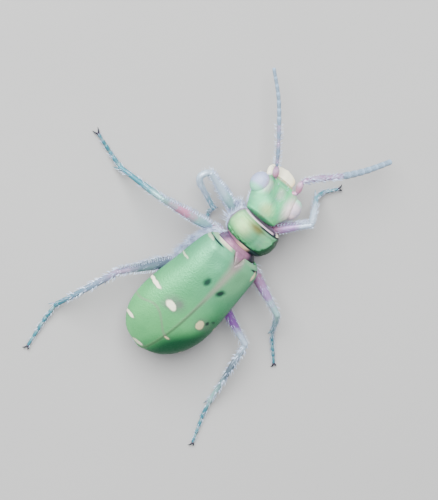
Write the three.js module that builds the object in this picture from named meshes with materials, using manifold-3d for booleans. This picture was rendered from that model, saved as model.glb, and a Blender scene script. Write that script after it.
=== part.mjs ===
// A green tiger beetle as a still, life-size model, standing on its six feet.
// Millimetres, +Z up. The head looks toward -Y, the beetle's own left side is +X, and the floor is z = 0.
// In the body's own space z = 0 is the level of the wing covers' side margins and y = 0 their front edge.

import * as THREE from 'three';
import { mergeVertices } from 'three/addons/utils/BufferGeometryUtils.js';
import Module from 'manifold-3d';

const wasm = await Module();
wasm.setup();

// Clearance kept between touching pieces, the wider one round small rods, whose sides are few, and the
// least thickness of a leg or feeler.
const GAP = 0.26;
const SOCKET_GAP = 0.32;
const THIN = 0.5;

// Carriage of the whole body: height of the wing covers' front margin over the floor, and the head-up tilt.
const MARGIN_HEIGHT = 3.0;
const BODY_PITCH = 5;

// Wing covers: [distance behind the front edge, half width, dome height].
const ELYTRA_STATIONS = [
  [0.32, 1.62, 0.96],
  [0.5, 1.88, 1.1],
  [0.95, 2.12, 1.32],
  [2.8, 2.36, 1.56],
  [5.3, 2.62, 1.52],
  [6.8, 2.34, 1.2],
  [7.85, 1.55, 0.75],
  [8.4, 0.55, 0.3],
];
const ELYTRA_WALL = 0.34;
const ELYTRA_SQUARENESS = 0.9;
const ELYTRA_RINGS = 18;
const ELYTRA_ARC_STEPS = 10;

// Thorax and abdomen below the wing covers: [y, half width, top, bottom].
const THORAX_REAR = 3.7;
const THORAX_STATIONS = [
  [0.21, 0.92, 0.42, -0.8],
  [0.4, 0.98, 0.3, -1.0],
  [0.75, 1.12, 0.42, -1.1],
  [1.1, 1.44, 0.64, -1.15],
  [2.2, 1.66, 0.8, -1.15],
  [THORAX_REAR, 1.72, 0.8, -1.1],
];
const ABDOMEN_STATIONS = [
  [THORAX_REAR + GAP, 1.74, 0.8, -1.06],
  [4.8, 1.86, 0.78, -1.05],
  [5.6, 1.86, 0.68, -0.95],
  [6.5, 1.55, 0.4, -0.8],
  [7.3, 1.0, -0.05, -0.7],
  [7.8, 0.7, -0.28, -0.66],
  [8.15, 0.42, -0.34, -0.6],
];
const ABDOMEN_PLATES = 6;
const ABDOMEN_PLATE_STEP = 0.045;

// The scutellum, the small triangle that rises from the thorax between the wing covers' front corners.
const SCUTELLUM = { halfWidth: 0.36, length: 0.62, front: 0.28, low: 0, high: 1.14 };

// Pronotum: [y, half width, top, bottom], with a cross groove near its front and its rear edge.
const PRONOTUM_STATIONS = [
  [-1.77, 1.2, 0.62, -0.75],
  [-1.64, 1.36, 0.74, -0.85],
  [-1.22, 1.52, 0.86, -0.98],
  [-0.72, 1.54, 0.88, -1.0],
  [-0.22, 1.42, 0.78, -0.92],
  [-0.05, 1.26, 0.66, -0.82],
];
const PRONOTUM_GROOVES = [-1.5, -0.32];
const GROOVE_DEPTH = 0.07;
const GROOVE_SPREAD = 0.12;

// Head, in its own space: origin at the neck, looking toward -Y. [y, half width, top, bottom].
// Its turns are degrees: yaw to the beetle's left, nod downward, and roll with the left side down.
const HEAD_PIVOT = [0.28, -1.95, -0.3];
const HEAD_YAW = 0;
const HEAD_NOD = 26;
const HEAD_ROLL = 1;
const HEAD_FRONT = -2.33;
const HEAD_STATIONS = [
  [0.02, 0.92, 0.48, -0.5],
  [-0.35, 1.08, 0.62, -0.64],
  [-0.95, 1.24, 0.74, -0.74],
  [-1.55, 1.22, 0.74, -0.72],
  [-2.02, 0.96, 0.58, -0.56],
  [HEAD_FRONT, 0.72, 0.38, -0.4],
];
const EYE = { x: 1.37, y: -1.41, z: 0.26, radii: [0.5, 0.62, 0.56] };
const LABRUM = { halfWidth: 0.78, length: 0.4, thickness: 0.3, y: HEAD_FRONT - GAP, z: -0.08 };
const MANDIBLE = { x: 0.66, y: HEAD_FRONT - GAP, z: -0.56, reach: 0.66, bow: 0.3, root: 0.26, tip: 0.09 };
const PALPS = {
  maxillary: { x: 0.94, y: -1.8, z: -0.9, reach: 0.62, radius: 0.2 },
  labial: { x: 0.34, y: -1.95, z: -1.0, reach: 0.62, radius: 0.19 },
};

// Feelers: each root in head space, then each stretch as [share of length, heading, degrees up].
// Headings here and below are degrees from the beetle's left (+X) toward its tail (+Y).
const ANTENNA_LENGTH = 6.5;
const ANTENNA_ROOTS = { left: [0.74, -2.14, 0.4], right: [-0.96, -2.24, 0.5] };
const ANTENNA_PARTS = { scape: [0, 0.12], stem: [0.12, 0.5], lash: [0.5, 1] };
const ANTENNA_JOINTS = { scape: 1, stem: 3, lash: 7 };
const ANTENNA_RADIUS = { scape: 0.27, stem: THIN / 2 + 0.01, lash: THIN / 2 };
const ANTENNA_POSE = {
  left: [[0.213, -47, 12], [0.27, -48.5, -5], [0.262, -46.5, -10], [0.255, -38.5, -11]],
  right: [[0.131, -67.5, 12], [0.376, -136.5, -6.5], [0.246, -134.5, -12.5], [0.247, -126, -10]],
};

// Legs: the lengths of each pair, its hips and coxae, then each leg's pose. Heights are those of the
// knee and the ankle over the floor. The left front leg is folded: its shin lies beside its thigh.
const LEG_LENGTHS = {
  front: { femur: 3.15, tibia: 2.8, tarsus: 1.5 },
  middle: { femur: 4.25, tibia: 3.1, tarsus: 2.3 },
  hind: { femur: 4.2, tibia: 4.95, tarsus: 3.0 },
};
const HIPS = {
  front: { x: 1.0, y: -0.98, z: -1.5 },
  middle: { x: 1.35, y: 0.6, z: -1.35 },
  hind: { x: 1.45, y: 3.3, z: -1.35 },
};
const COXA_TRIM = 0.26;
const COXA_ROOTS = {
  front: { x: 0.5, y: -0.95, z: -1.0, radius: 0.4 },
  middle: { x: 0.72, y: 0.6, z: -1.15, radius: 0.4 },
  hind: { x: 0.75, y: 3.05, z: -1.15, radius: 0.42 },
};
const LEG_POSES = [
  { pair: 'front', side: 'left', femur: -15, knee: 2.0, tibia: 162, ankle: 0.9, tarsus: 125, folded: true },
  { pair: 'front', side: 'right', femur: 239, knee: 3.1, tibia: 250, ankle: 0.6, tarsus: 230 },
  { pair: 'middle', side: 'left', femur: 5.5, knee: 2.6, tibia: 11, ankle: 0.45, tarsus: -16 },
  { pair: 'middle', side: 'right', femur: 160, knee: 2.6, tibia: 145, ankle: 0.45, tarsus: 140 },
  { pair: 'hind', side: 'left', femur: 38, knee: 2.95, tibia: 87, ankle: 0.45, tarsus: 102 },
  { pair: 'hind', side: 'right', femur: 161, knee: 2.0, tibia: 113, ankle: 0.45, tarsus: 116 },
];
const FOLD_OFFSET = 0.8;
const FOLD_TRIM = 0.48;
const JOINT_RADIUS = 0.2;
const FEMUR_RADII = [JOINT_RADIUS, 0.34, 0.35, 0.29, 0.27, JOINT_RADIUS];
const TIBIA_RADII = [JOINT_RADIUS, 0.25, 0.25, 0.25, 0.25, JOINT_RADIUS];
const LONGEST_TRIM = 0.5;
const TARSUS_JOINTS = 5;
const TARSUS_RADIUS = THIN / 2;
const TARSUS_WAIST = 0.19;
const BEAD_STEPS = 3;
const CLAW = { length: 0.42, spread: 32, root: 0.13, tip: 0.04 };

// Colours, with roughness and metalness.
const FINISH = {
  elytron: { color: 0x8fc79b, roughness: 0.5, metalness: 0.15 },
  pronotum: { color: 0x9cc69a, roughness: 0.5, metalness: 0.15 },
  head: { color: 0x9fd0a8, roughness: 0.5, metalness: 0.15 },
  thorax: { color: 0x9a7a86, roughness: 0.45, metalness: 0.3 },
  abdomen: { color: 0x3f7a72, roughness: 0.4, metalness: 0.35 },
  eye: { color: 0xb9b6c8, roughness: 0.25, metalness: 0.0 },
  ivory: { color: 0xe6dcc4, roughness: 0.45, metalness: 0.0 },
  copper: { color: 0xa87c92, roughness: 0.4, metalness: 0.35 },
  teal: { color: 0x5f8f93, roughness: 0.4, metalness: 0.35 },
  slate: { color: 0x6c7f90, roughness: 0.7, metalness: 0.0 },
};

const rad = THREE.MathUtils.degToRad;
const smooth = THREE.MathUtils.smoothstep;

function bodyMesh(name, geometry, finish) {
  const mesh = new THREE.Mesh(geometry, new THREE.MeshStandardMaterial(FINISH[finish]));
  mesh.name = name;
  return mesh;
}

// A closed geometry from points and triangles.
function geometryOf(points, triangles) {
  const geometry = new THREE.BufferGeometry();
  geometry.setAttribute('position', new THREE.Float32BufferAttribute(points.flat(), 3));
  geometry.setIndex(triangles.flat());
  return geometry;
}

// A solid through rings of points, closed at each end by a fan to the ring's middle.
// The rings run so that their points turn right-handed about the way from the first ring to the last.
function loft(rings) {
  const sides = rings[0].length;
  const points = rings.flat();
  const triangles = [];
  const middle = (ring) => [0, 1, 2].map((k) => ring.reduce((sum, p) => sum + p[k], 0) / sides);
  points.push(middle(rings[0]), middle(rings[rings.length - 1]));
  const first = points.length - 2;
  const last = points.length - 1;
  const end = (rings.length - 1) * sides;
  for (let j = 0; j < sides; j++) {
    const k = (j + 1) % sides;
    triangles.push([first, k, j], [last, end + j, end + k]);
    for (let i = 0; i < rings.length - 1; i++) {
      const a = i * sides;
      const b = a + sides;
      triangles.push([a + j, a + k, b + k], [a + j, b + k, b + j]);
    }
  }
  return geometryOf(points, triangles);
}

// A smooth curve of values through stations, read at any place of their first column.
function profileOf(stations) {
  const columns = stations[0].length - 1;
  return (place) => {
    let i = 0;
    while (i < stations.length - 2 && place > stations[i + 1][0]) i++;
    const before = stations[Math.max(0, i - 1)];
    const [from, to] = [stations[i], stations[i + 1]];
    const after = stations[Math.min(stations.length - 1, i + 2)];
    const span = to[0] - from[0];
    const t = THREE.MathUtils.clamp((place - from[0]) / span, 0, 1);
    return Array.from({ length: columns }, (_, c) => {
      const slopeIn = (to[c + 1] - before[c + 1]) / (to[0] - before[0]) * span;
      const slopeOut = (after[c + 1] - from[c + 1]) / (after[0] - from[0]) * span;
      const [t2, t3] = [t * t, t * t * t];
      return from[c + 1] * (2 * t3 - 3 * t2 + 1) + slopeIn * (t3 - 2 * t2 + t)
        + to[c + 1] * (3 * t2 - 2 * t3) + slopeOut * (t3 - t2);
    });
  };
}

// Places along stations: every station, with extra rings spread evenly between them.
function placesAlong(stations, extra) {
  const places = [];
  stations.forEach(([place], i) => {
    places.push(place);
    const next = stations[i + 1];
    for (let k = 1; next && k <= extra; k++) places.push(place + (next[0] - place) * k / (extra + 1));
  });
  return places;
}

// A body form along Y through stations of [y, half width, top, bottom], with superellipse sections.
// relief(y, turn) swells or sinks a point, turn being the angle from the beetle's left over its back.
function hull(stations, { sides = 24, extra = 1, squareness = 0.86, relief = () => 0 } = {}) {
  const ordered = [...stations].sort((a, b) => a[0] - b[0]);
  const at = profileOf(ordered);
  const power = (v) => Math.sign(v) * Math.abs(v) ** squareness;
  const rings = placesAlong(ordered, extra).map((y) => {
    const [halfWidth, top, bottom] = at(y);
    const level = (top + bottom) / 2;
    const height = (top - bottom) / 2;
    return Array.from({ length: sides }, (_, j) => {
      const turn = -2 * Math.PI * j / sides;
      const swell = 1 + relief(y, turn);
      return [halfWidth * power(Math.cos(turn)) * swell, y, level + height * power(Math.sin(turn)) * swell];
    });
  });
  return loft(rings);
}

// A rod through points with a radius at each, flattened by [sideways, upright] factors.
// floor keeps the rod's underside from sinking below a level, as a small flat.
function rod(points, radii, { sides = 8, flat = [1, 1], floor = -Infinity } = {}) {
  const upright = new THREE.Vector3(0, 0, 1);
  const rings = points.map((point, i) => {
    const ahead = points[Math.min(points.length - 1, i + 1)].clone();
    const along = ahead.sub(points[Math.max(0, i - 1)]).normalize();
    const sideways = new THREE.Vector3().crossVectors(along, upright).normalize();
    const up = new THREE.Vector3().crossVectors(sideways, along);
    return Array.from({ length: sides }, (_, j) => {
      const turn = 2 * Math.PI * (j + 0.5) / sides;
      const p = point.clone()
        .addScaledVector(sideways, -Math.cos(turn) * radii[i] * flat[0])
        .addScaledVector(up, Math.sin(turn) * radii[i] * flat[1]);
      return [p.x, p.y, Math.max(p.z, floor)];
    });
  });
  return loft(rings);
}

// The solid of a closed geometry, and back again with only its largest closed surface.
function solidOf(geometry) {
  const bare = geometry.index ? geometry.clone() : geometry;
  bare.deleteAttribute('normal');
  bare.deleteAttribute('uv');
  const merged = mergeVertices(bare, 1e-5);
  const vertProperties = Float32Array.from(merged.attributes.position.array);
  return new wasm.Manifold(new wasm.Mesh({
    numProp: 3, vertProperties, triVerts: Uint32Array.from(merged.index.array),
  }));
}

function geometryFrom(solid) {
  const [largest] = solid.decompose().sort((a, b) => b.volume() - a.volume());
  const mesh = largest.getMesh();
  const geometry = new THREE.BufferGeometry();
  geometry.setAttribute('position', new THREE.BufferAttribute(mesh.vertProperties, 3));
  geometry.setIndex(new THREE.BufferAttribute(mesh.triVerts, 1));
  return geometry;
}

const fuse = (first, ...others) => geometryFrom(others.reduce((sum, g) => sum.add(solidOf(g)), solidOf(first)));
const cut = (first, ...others) => geometryFrom(others.reduce((sum, g) => sum.subtract(solidOf(g)), solidOf(first)));

// An ellipsoid at a place.
function ellipsoid(centre, radii, width = 16, height = 12) {
  const geometry = new THREE.SphereGeometry(1, width, height);
  geometry.rotateX(Math.PI / 2);
  geometry.scale(...radii);
  geometry.translate(...centre);
  return geometry;
}

// Wing covers. The outer face of one half dome is a grid over length and arc, and the inner face is the
// same grid drawn in toward the dome's middle, so that the wall has the same triangles on both faces.
const elytraAt = profileOf(ELYTRA_STATIONS);
const ELYTRA_FRONT = ELYTRA_STATIONS[0][0];
const ELYTRA_REAR = ELYTRA_STATIONS[ELYTRA_STATIONS.length - 1][0];
const ELYTRA_HALF_WIDTH = Math.max(...ELYTRA_STATIONS.map((s) => s[1]));
const ELYTRA_DOME = Math.max(...ELYTRA_STATIONS.map((s) => s[2]));

function elytronPoint(along, arc, inset, side) {
  const y = THREE.MathUtils.lerp(ELYTRA_FRONT, ELYTRA_REAR, along);
  const [halfWidth, dome] = elytraAt(y);
  const middle = (ELYTRA_FRONT + ELYTRA_REAR) / 2;
  const shrinkX = 1 - inset / ELYTRA_HALF_WIDTH;
  const shrinkY = 1 - 2 * inset / (ELYTRA_REAR - ELYTRA_FRONT);
  const shrinkZ = 1 - inset / ELYTRA_DOME;
  const turn = Math.PI / 2 * (1 - arc);
  const reach = Math.max(halfWidth * shrinkX, GAP) - GAP / 2;
  return [
    side * (GAP / 2 + reach * Math.cos(turn) ** ELYTRA_SQUARENESS),
    middle + (y - middle) * shrinkY,
    dome * shrinkZ * Math.sin(turn) ** ELYTRA_SQUARENESS,
  ];
}

function elytronGeometry(side) {
  const row = ELYTRA_ARC_STEPS + 1;
  const face = (inset) => {
    const grid = [];
    for (let i = 0; i <= ELYTRA_RINGS; i++) {
      const along = 0.5 - 0.5 * Math.cos(Math.PI * i / ELYTRA_RINGS);
      for (let j = 0; j < row; j++) grid.push(elytronPoint(along, j / ELYTRA_ARC_STEPS, inset, side));
    }
    return grid;
  };
  const points = [...face(0), ...face(ELYTRA_WALL)];
  const inner = points.length / 2;
  const triangles = [];
  const quad = (a, b, c, d) => triangles.push([a, b, c], [a, c, d]);
  for (let i = 0; i < ELYTRA_RINGS; i++) {
    for (let j = 0; j < ELYTRA_ARC_STEPS; j++) {
      const a = i * row + j;
      quad(a, a + row, a + row + 1, a + 1);
      triangles.push([inner + a, inner + a + row + 1, inner + a + row]);
      triangles.push([inner + a, inner + a + 1, inner + a + row + 1]);
    }
    const [top, rim] = [i * row, i * row + ELYTRA_ARC_STEPS];
    quad(top, inner + top, inner + top + row, top + row);
    quad(rim, rim + row, inner + rim + row, inner + rim);
  }
  for (let j = 0; j < ELYTRA_ARC_STEPS; j++) {
    const rear = ELYTRA_RINGS * row + j;
    quad(j, j + 1, inner + j + 1, inner + j);
    quad(rear, inner + rear, inner + rear + 1, rear + 1);
  }
  const outward = side < 0 ? triangles : triangles.map(([a, b, c]) => [a, c, b]);
  return geometryOf(points, outward);
}

// A triangular prism pointing to the tail, each of its three sides moved out by a clearance.
function scutellumPrism(clearance) {
  const { halfWidth, length, front, low, high } = SCUTELLUM;
  const slant = Math.hypot(halfWidth, length);
  const half = halfWidth + clearance * (slant + halfWidth) / length;
  const tip = front + length + clearance * slant / halfWidth;
  const shape = new THREE.Shape();
  shape.moveTo(-half, front - clearance);
  shape.lineTo(half, front - clearance);
  shape.lineTo(0, tip);
  const geometry = new THREE.ExtrudeGeometry(shape, { depth: high + clearance - low, bevelEnabled: false });
  geometry.translate(0, 0, low);
  return geometry;
}

// The ringed segments of the abdomen: each plate swells a little toward its rear edge.
function plateRelief(y) {
  const [start, end] = [ABDOMEN_STATIONS[0][0], ABDOMEN_STATIONS[ABDOMEN_STATIONS.length - 1][0]];
  const share = (y - start) / (end - start) * ABDOMEN_PLATES;
  return ABDOMEN_PLATE_STEP * ((share % 1) - 0.5);
}

// The two cross grooves of the pronotum, cut across the back only.
function grooveRelief(y, turn) {
  const depth = PRONOTUM_GROOVES.reduce((sum, g) => sum + Math.exp(-(((y - g) / GROOVE_SPREAD) ** 2)), 0);
  return -GROOVE_DEPTH * depth * smooth(Math.sin(turn), 0, 0.6);
}

// A coxa swells out of a socket in the underside toward the hip, where the femur begins.
function coxaGeometry(pair, sign, clearance = 0) {
  const { x, y, z, radius } = COXA_ROOTS[pair];
  const root = new THREE.Vector3(sign * x, y, z);
  const hip = new THREE.Vector3(sign * HIPS[pair].x, HIPS[pair].y, HIPS[pair].z);
  const along = hip.clone().sub(root).normalize();
  const start = root.addScaledVector(along, -clearance);
  const end = hip.addScaledVector(along, clearance - COXA_TRIM);
  const points = [0, 0.3, 0.6, 0.85, 1].map((share) => start.clone().lerp(end, share));
  const widths = [0.8, 1, 0.86, 0.66, 0.55].map((share) => radius * share + clearance);
  return rod(points, widths, { sides: 10 });
}

// The head's place in the trunk, and its capsule, swollen by a clearance where it cuts its own socket.
function placeHead(object) {
  object.position.set(...HEAD_PIVOT);
  object.rotation.set(rad(HEAD_NOD), rad(HEAD_ROLL), rad(HEAD_YAW), 'ZXY');
  object.updateMatrix();
  return object;
}

function headCapsule(clearance = 0) {
  const stations = HEAD_STATIONS.map(([y, halfWidth, top, bottom], i) => [
    y + (i === 0 ? clearance : 0), halfWidth + clearance, top + clearance, bottom - clearance,
  ]);
  return hull(stations, { extra: 2 });
}

function buildTrunk() {
  const trunk = new THREE.Group();
  const notch = scutellumPrism(GAP);
  const elytron = (name, side) => bodyMesh(name, cut(elytronGeometry(side), notch), 'elytron');
  const sockets = (pair) => [1, -1].map((sign) => coxaGeometry(pair, sign, GAP));
  const pronotum = hull(PRONOTUM_STATIONS, { extra: 2, relief: grooveRelief });
  const neckSocket = headCapsule(GAP).applyMatrix4(placeHead(new THREE.Object3D()).matrix);
  trunk.add(
    elytron('elytron_left', 1),
    elytron('elytron_right', -1),
    bodyMesh('thorax', cut(fuse(hull(THORAX_STATIONS), scutellumPrism(0)), ...sockets('middle'), ...sockets('hind')),
      'thorax'),
    bodyMesh('abdomen', hull(ABDOMEN_STATIONS, { extra: 3, relief: plateRelief }), 'abdomen'),
    bodyMesh('pronotum', cut(pronotum, neckSocket, ...sockets('front')), 'pronotum'),
  );
  for (const pair of Object.keys(COXA_ROOTS)) {
    trunk.add(bodyMesh(`leg_${pair}_left_coxa`, coxaGeometry(pair, 1), 'copper'));
    trunk.add(bodyMesh(`leg_${pair}_right_coxa`, coxaGeometry(pair, -1), 'copper'));
  }
  return trunk;
}

// Head pieces, in head space.
function mandibleGeometry(side) {
  const { x, y, z, reach, bow, root, tip } = MANDIBLE;
  const curve = new THREE.CatmullRomCurve3([
    new THREE.Vector3(side * x, y, z),
    new THREE.Vector3(side * (x + bow * 0.5), y - reach * 0.4, z),
    new THREE.Vector3(side * (x + bow * 0.1), y - reach * 0.78, z + 0.02),
    new THREE.Vector3(side * (GAP / 2 + tip * 2), y - reach, z + 0.04),
  ]);
  const points = curve.getPoints(10);
  const radii = points.map((_, i) => THREE.MathUtils.lerp(root, tip, (i / 10) ** 1.4));
  return rod(points, radii, { flat: [1, 0.8] });
}

function labrumGeometry() {
  const { halfWidth, length, thickness, y, z } = LABRUM;
  const shape = new THREE.Shape();
  shape.moveTo(-halfWidth, 0);
  shape.quadraticCurveTo(-halfWidth, -length * 0.8, -halfWidth * 0.4, -length * 0.86);
  shape.lineTo(0, -length);
  shape.lineTo(halfWidth * 0.4, -length * 0.86);
  shape.quadraticCurveTo(halfWidth, -length * 0.8, halfWidth, 0);
  const geometry = new THREE.ExtrudeGeometry(shape, { depth: thickness, bevelEnabled: false, curveSegments: 5 });
  geometry.translate(0, y, z);
  return geometry;
}

// A palp hangs below the mandibles: a jointed rod from its root through an elbow to a blunt tip.
function palpGeometry(side, kind, clearance = 0) {
  const { x, y, z, reach, radius } = PALPS[kind];
  const points = new THREE.CatmullRomCurve3([
    new THREE.Vector3(side * x, y + clearance, z),
    new THREE.Vector3(side * (x + reach * 0.12), y - reach * 0.4, z - reach * 0.12),
    new THREE.Vector3(side * (x + reach * 0.06), y - reach * 0.95, z - reach * 0.3),
  ]).getPoints(6);
  const widths = points.map((_, i) => radius * (i % 2 ? 1.1 : 0.85) + clearance);
  return rod(points, widths, { sides: 7 });
}

// The course of one feeler from its root in the head, in the head's own space.
function antennaCourse(side, head) {
  const knot = head.localToWorld(new THREE.Vector3(...ANTENNA_ROOTS[side]));
  const knots = [knot.clone()];
  for (const [share, heading, rise] of ANTENNA_POSE[side]) {
    const level = Math.cos(rad(rise));
    const way = new THREE.Vector3(level * Math.cos(rad(heading)), level * Math.sin(rad(heading)), Math.sin(rad(rise)));
    knots.push(knot.addScaledVector(way, share * ANTENNA_LENGTH).clone());
  }
  return new THREE.CatmullRomCurve3(knots.map((k) => head.worldToLocal(k)), false, 'centripetal');
}

// One length of a feeler, beaded at its joints, parted from the next length by the gap.
function antennaGeometry(course, part, clearance = 0) {
  const [from, to] = ANTENNA_PARTS[part];
  const radius = ANTENNA_RADIUS[part] + clearance;
  const margin = (GAP / 2 - clearance) / ANTENNA_LENGTH;
  const steps = ANTENNA_JOINTS[part] * BEAD_STEPS;
  const points = [];
  const radii = [];
  for (let i = 0; i <= steps; i++) {
    const share = Math.max(0, THREE.MathUtils.lerp(from + margin, to - margin, i / steps));
    const bead = 0.86 + 0.14 * Math.sin(Math.PI * ((i / BEAD_STEPS) % 1));
    const taper = part === 'lash' ? 1 - 0.3 * smooth(i / steps, 0.5, 1) : 1;
    points.push(course.getPointAt(share));
    radii.push(radius * bead * taper);
  }
  return rod(points, radii, { sides: 7 });
}

function buildHead(trunk) {
  const head = placeHead(new THREE.Group());
  trunk.add(head);
  head.updateWorldMatrix(true, false);
  const sides = [['left', 1], ['right', -1]];
  const courses = { left: antennaCourse('left', head), right: antennaCourse('right', head) };
  const eyeCentre = (sign) => [sign * EYE.x, EYE.y, EYE.z];
  const sockets = sides.flatMap(([side, sign]) => [
    ellipsoid(eyeCentre(sign), EYE.radii.map((r) => r + GAP)),
    antennaGeometry(courses[side], 'scape', SOCKET_GAP),
    palpGeometry(sign, 'maxillary', SOCKET_GAP),
    palpGeometry(sign, 'labial', SOCKET_GAP),
  ]);
  head.add(bodyMesh('head', cut(headCapsule(), ...sockets), 'head'));
  head.add(bodyMesh('labrum', labrumGeometry(), 'ivory'));
  for (const [side, sign] of sides) {
    head.add(bodyMesh(`eye_${side}`, ellipsoid(eyeCentre(sign), EYE.radii), 'eye'));
    head.add(bodyMesh(`mandible_${side}`, mandibleGeometry(sign), 'ivory'));
    head.add(bodyMesh(`maxillary_palp_${side}`, palpGeometry(sign, 'maxillary'), 'ivory'));
    head.add(bodyMesh(`labial_palp_${side}`, palpGeometry(sign, 'labial'), 'ivory'));
    for (const part of Object.keys(ANTENNA_PARTS)) {
      const finish = part === 'lash' ? 'slate' : 'copper';
      head.add(bodyMesh(`antenna_${side}_${part}`, antennaGeometry(courses[side], part), finish));
    }
  }
}

// Where a joint lies: a step of one length along a heading, ending at a height.
function stepTo(from, length, heading, height) {
  const rise = height - from.z;
  const level = Math.sqrt(length * length - rise * rise);
  return new THREE.Vector3(from.x + level * Math.cos(rad(heading)), from.y + level * Math.sin(rad(heading)), height);
}

// How far two rods must end short of their joint to keep the gap where they bend.
function trimAt(before, joint, after) {
  const bend = joint.clone().sub(before).angleTo(after.clone().sub(joint)) / 2;
  return Math.min(LONGEST_TRIM, (GAP / 2 + JOINT_RADIUS * Math.sin(bend)) / Math.cos(bend));
}

// A limb's length between two joints, ending short of each by its trim.
function limb(from, to, radii, steps, [trimFrom, trimTo], flat) {
  const along = to.clone().sub(from).normalize();
  const start = from.clone().addScaledVector(along, trimFrom);
  const end = to.clone().addScaledVector(along, -trimTo);
  const at = profileOf(radii.map((r, i) => [i / (radii.length - 1), r]));
  const points = [];
  const widths = [];
  for (let i = 0; i <= steps; i++) {
    points.push(start.clone().lerp(end, i / steps));
    widths.push(at(i / steps)[0]);
  }
  return rod(points, widths, { flat });
}

// A folded shin starts beside the thigh's end and reaches round it with a short hook.
function foldedTibia(knee, start, ankle, ankleTrim) {
  const shin = limb(start, ankle, TIBIA_RADII.slice(1), 5, [0, ankleTrim], [1, 1]);
  const reach = knee.clone().sub(start).normalize().multiplyScalar(JOINT_RADIUS / 2);
  const [from, to] = [start.clone().sub(reach), knee.clone().add(reach)];
  const middle = from.clone().lerp(to, 0.5);
  return fuse(shin, rod([from, middle, to], [TIBIA_RADII[1], TIBIA_RADII[1], JOINT_RADIUS]));
}

// A foot: five beads that slope from the ankle down to the floor and lie flat there, and two claws.
function tarsusGeometry(ankle, toe, heading, trim) {
  const touch = ankle.clone().lerp(toe, 0.45).setZ(TARSUS_RADIUS * 0.85);
  const along = toe.clone().sub(ankle).normalize();
  const course = new THREE.CatmullRomCurve3([ankle.clone().addScaledVector(along, trim), touch, toe]);
  const steps = TARSUS_JOINTS * BEAD_STEPS;
  const points = [];
  const radii = [];
  for (let i = 0; i <= steps; i++) {
    points.push(course.getPointAt(i / steps));
    const bead = Math.sin(Math.PI * ((i / BEAD_STEPS) % 1));
    radii.push(THREE.MathUtils.lerp(TARSUS_WAIST, TARSUS_RADIUS, bead));
  }
  const claws = [-1, 1].map((sign) => {
    const way = rad(heading + sign * CLAW.spread);
    const direction = new THREE.Vector3(Math.cos(way), Math.sin(way), 0);
    const reach = [-0.3, 0.1, 0.6, 1].map((share) => toe.clone().addScaledVector(direction, share * CLAW.length)
      .setZ(TARSUS_RADIUS * 0.8 - 0.06 * Math.max(0, share)));
    const widths = reach.map((_, i) => THREE.MathUtils.lerp(CLAW.root, CLAW.tip, i / 3));
    return rod(reach, widths, { sides: 6, floor: 0 });
  });
  return fuse(rod(points, radii, { floor: 0 }), ...claws);
}

function buildLegs(trunk) {
  const legs = new THREE.Group();
  for (const pose of LEG_POSES) {
    const { pair, side } = pose;
    const sign = side === 'left' ? 1 : -1;
    const placed = ({ x, y, z }) => trunk.localToWorld(new THREE.Vector3(sign * x, y, z));
    const root = placed(COXA_ROOTS[pair]);
    const hip = placed(HIPS[pair]);
    const lengths = LEG_LENGTHS[pair];
    const knee = stepTo(hip, lengths.femur, pose.femur, pose.knee);
    const across = rad(pose.femur + 90);
    const shinStart = knee.clone();
    if (pose.folded) shinStart.add(new THREE.Vector3(Math.cos(across), Math.sin(across), 0).multiplyScalar(FOLD_OFFSET));
    const ankle = stepTo(shinStart, lengths.tibia, pose.tibia, pose.ankle);
    const toe = stepTo(ankle, lengths.tarsus, pose.tarsus, TARSUS_RADIUS * 0.8);
    const hipTrim = trimAt(root, hip, knee);
    const kneeTrim = pose.folded ? FOLD_TRIM : trimAt(hip, knee, ankle);
    const ankleTrim = trimAt(shinStart, ankle, toe);
    const name = (piece) => `leg_${pair}_${side}_${piece}`;
    const femur = limb(hip, knee, FEMUR_RADII, 9, [hipTrim, kneeTrim], [0.95, 1.05]);
    const tibia = pose.folded ? foldedTibia(knee, shinStart, ankle, ankleTrim)
      : limb(knee, ankle, TIBIA_RADII, 5, [kneeTrim, ankleTrim], [1, 1]);
    legs.add(
      bodyMesh(name('femur'), femur, 'copper'),
      bodyMesh(name('tibia'), tibia, 'teal'),
      bodyMesh(name('tarsus'), tarsusGeometry(ankle, toe, pose.tarsus, ankleTrim), 'teal'),
    );
  }
  return legs;
}

const beetle = new THREE.Group();
const trunk = buildTrunk();
trunk.position.z = MARGIN_HEIGHT;
trunk.rotation.x = -rad(BODY_PITCH);
trunk.updateMatrixWorld(true);
buildHead(trunk);
beetle.add(trunk, buildLegs(trunk));

// The origin lies under the middle of the whole outline, on the floor.
const outline = new THREE.Box3().setFromObject(beetle, true);
const centre = outline.getCenter(new THREE.Vector3());
beetle.position.set(-centre.x, -centre.y, -outline.min.z);

export default beetle;
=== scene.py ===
"""A green tiger beetle as a still, life-size museum model: shell plates, legs, feelers and white hairs."""

import math
import random

import bmesh
import bpy
import numpy as np
from bpy.props import FloatProperty, FloatVectorProperty, IntProperty, PointerProperty
from mathutils import Matrix, Vector


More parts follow.
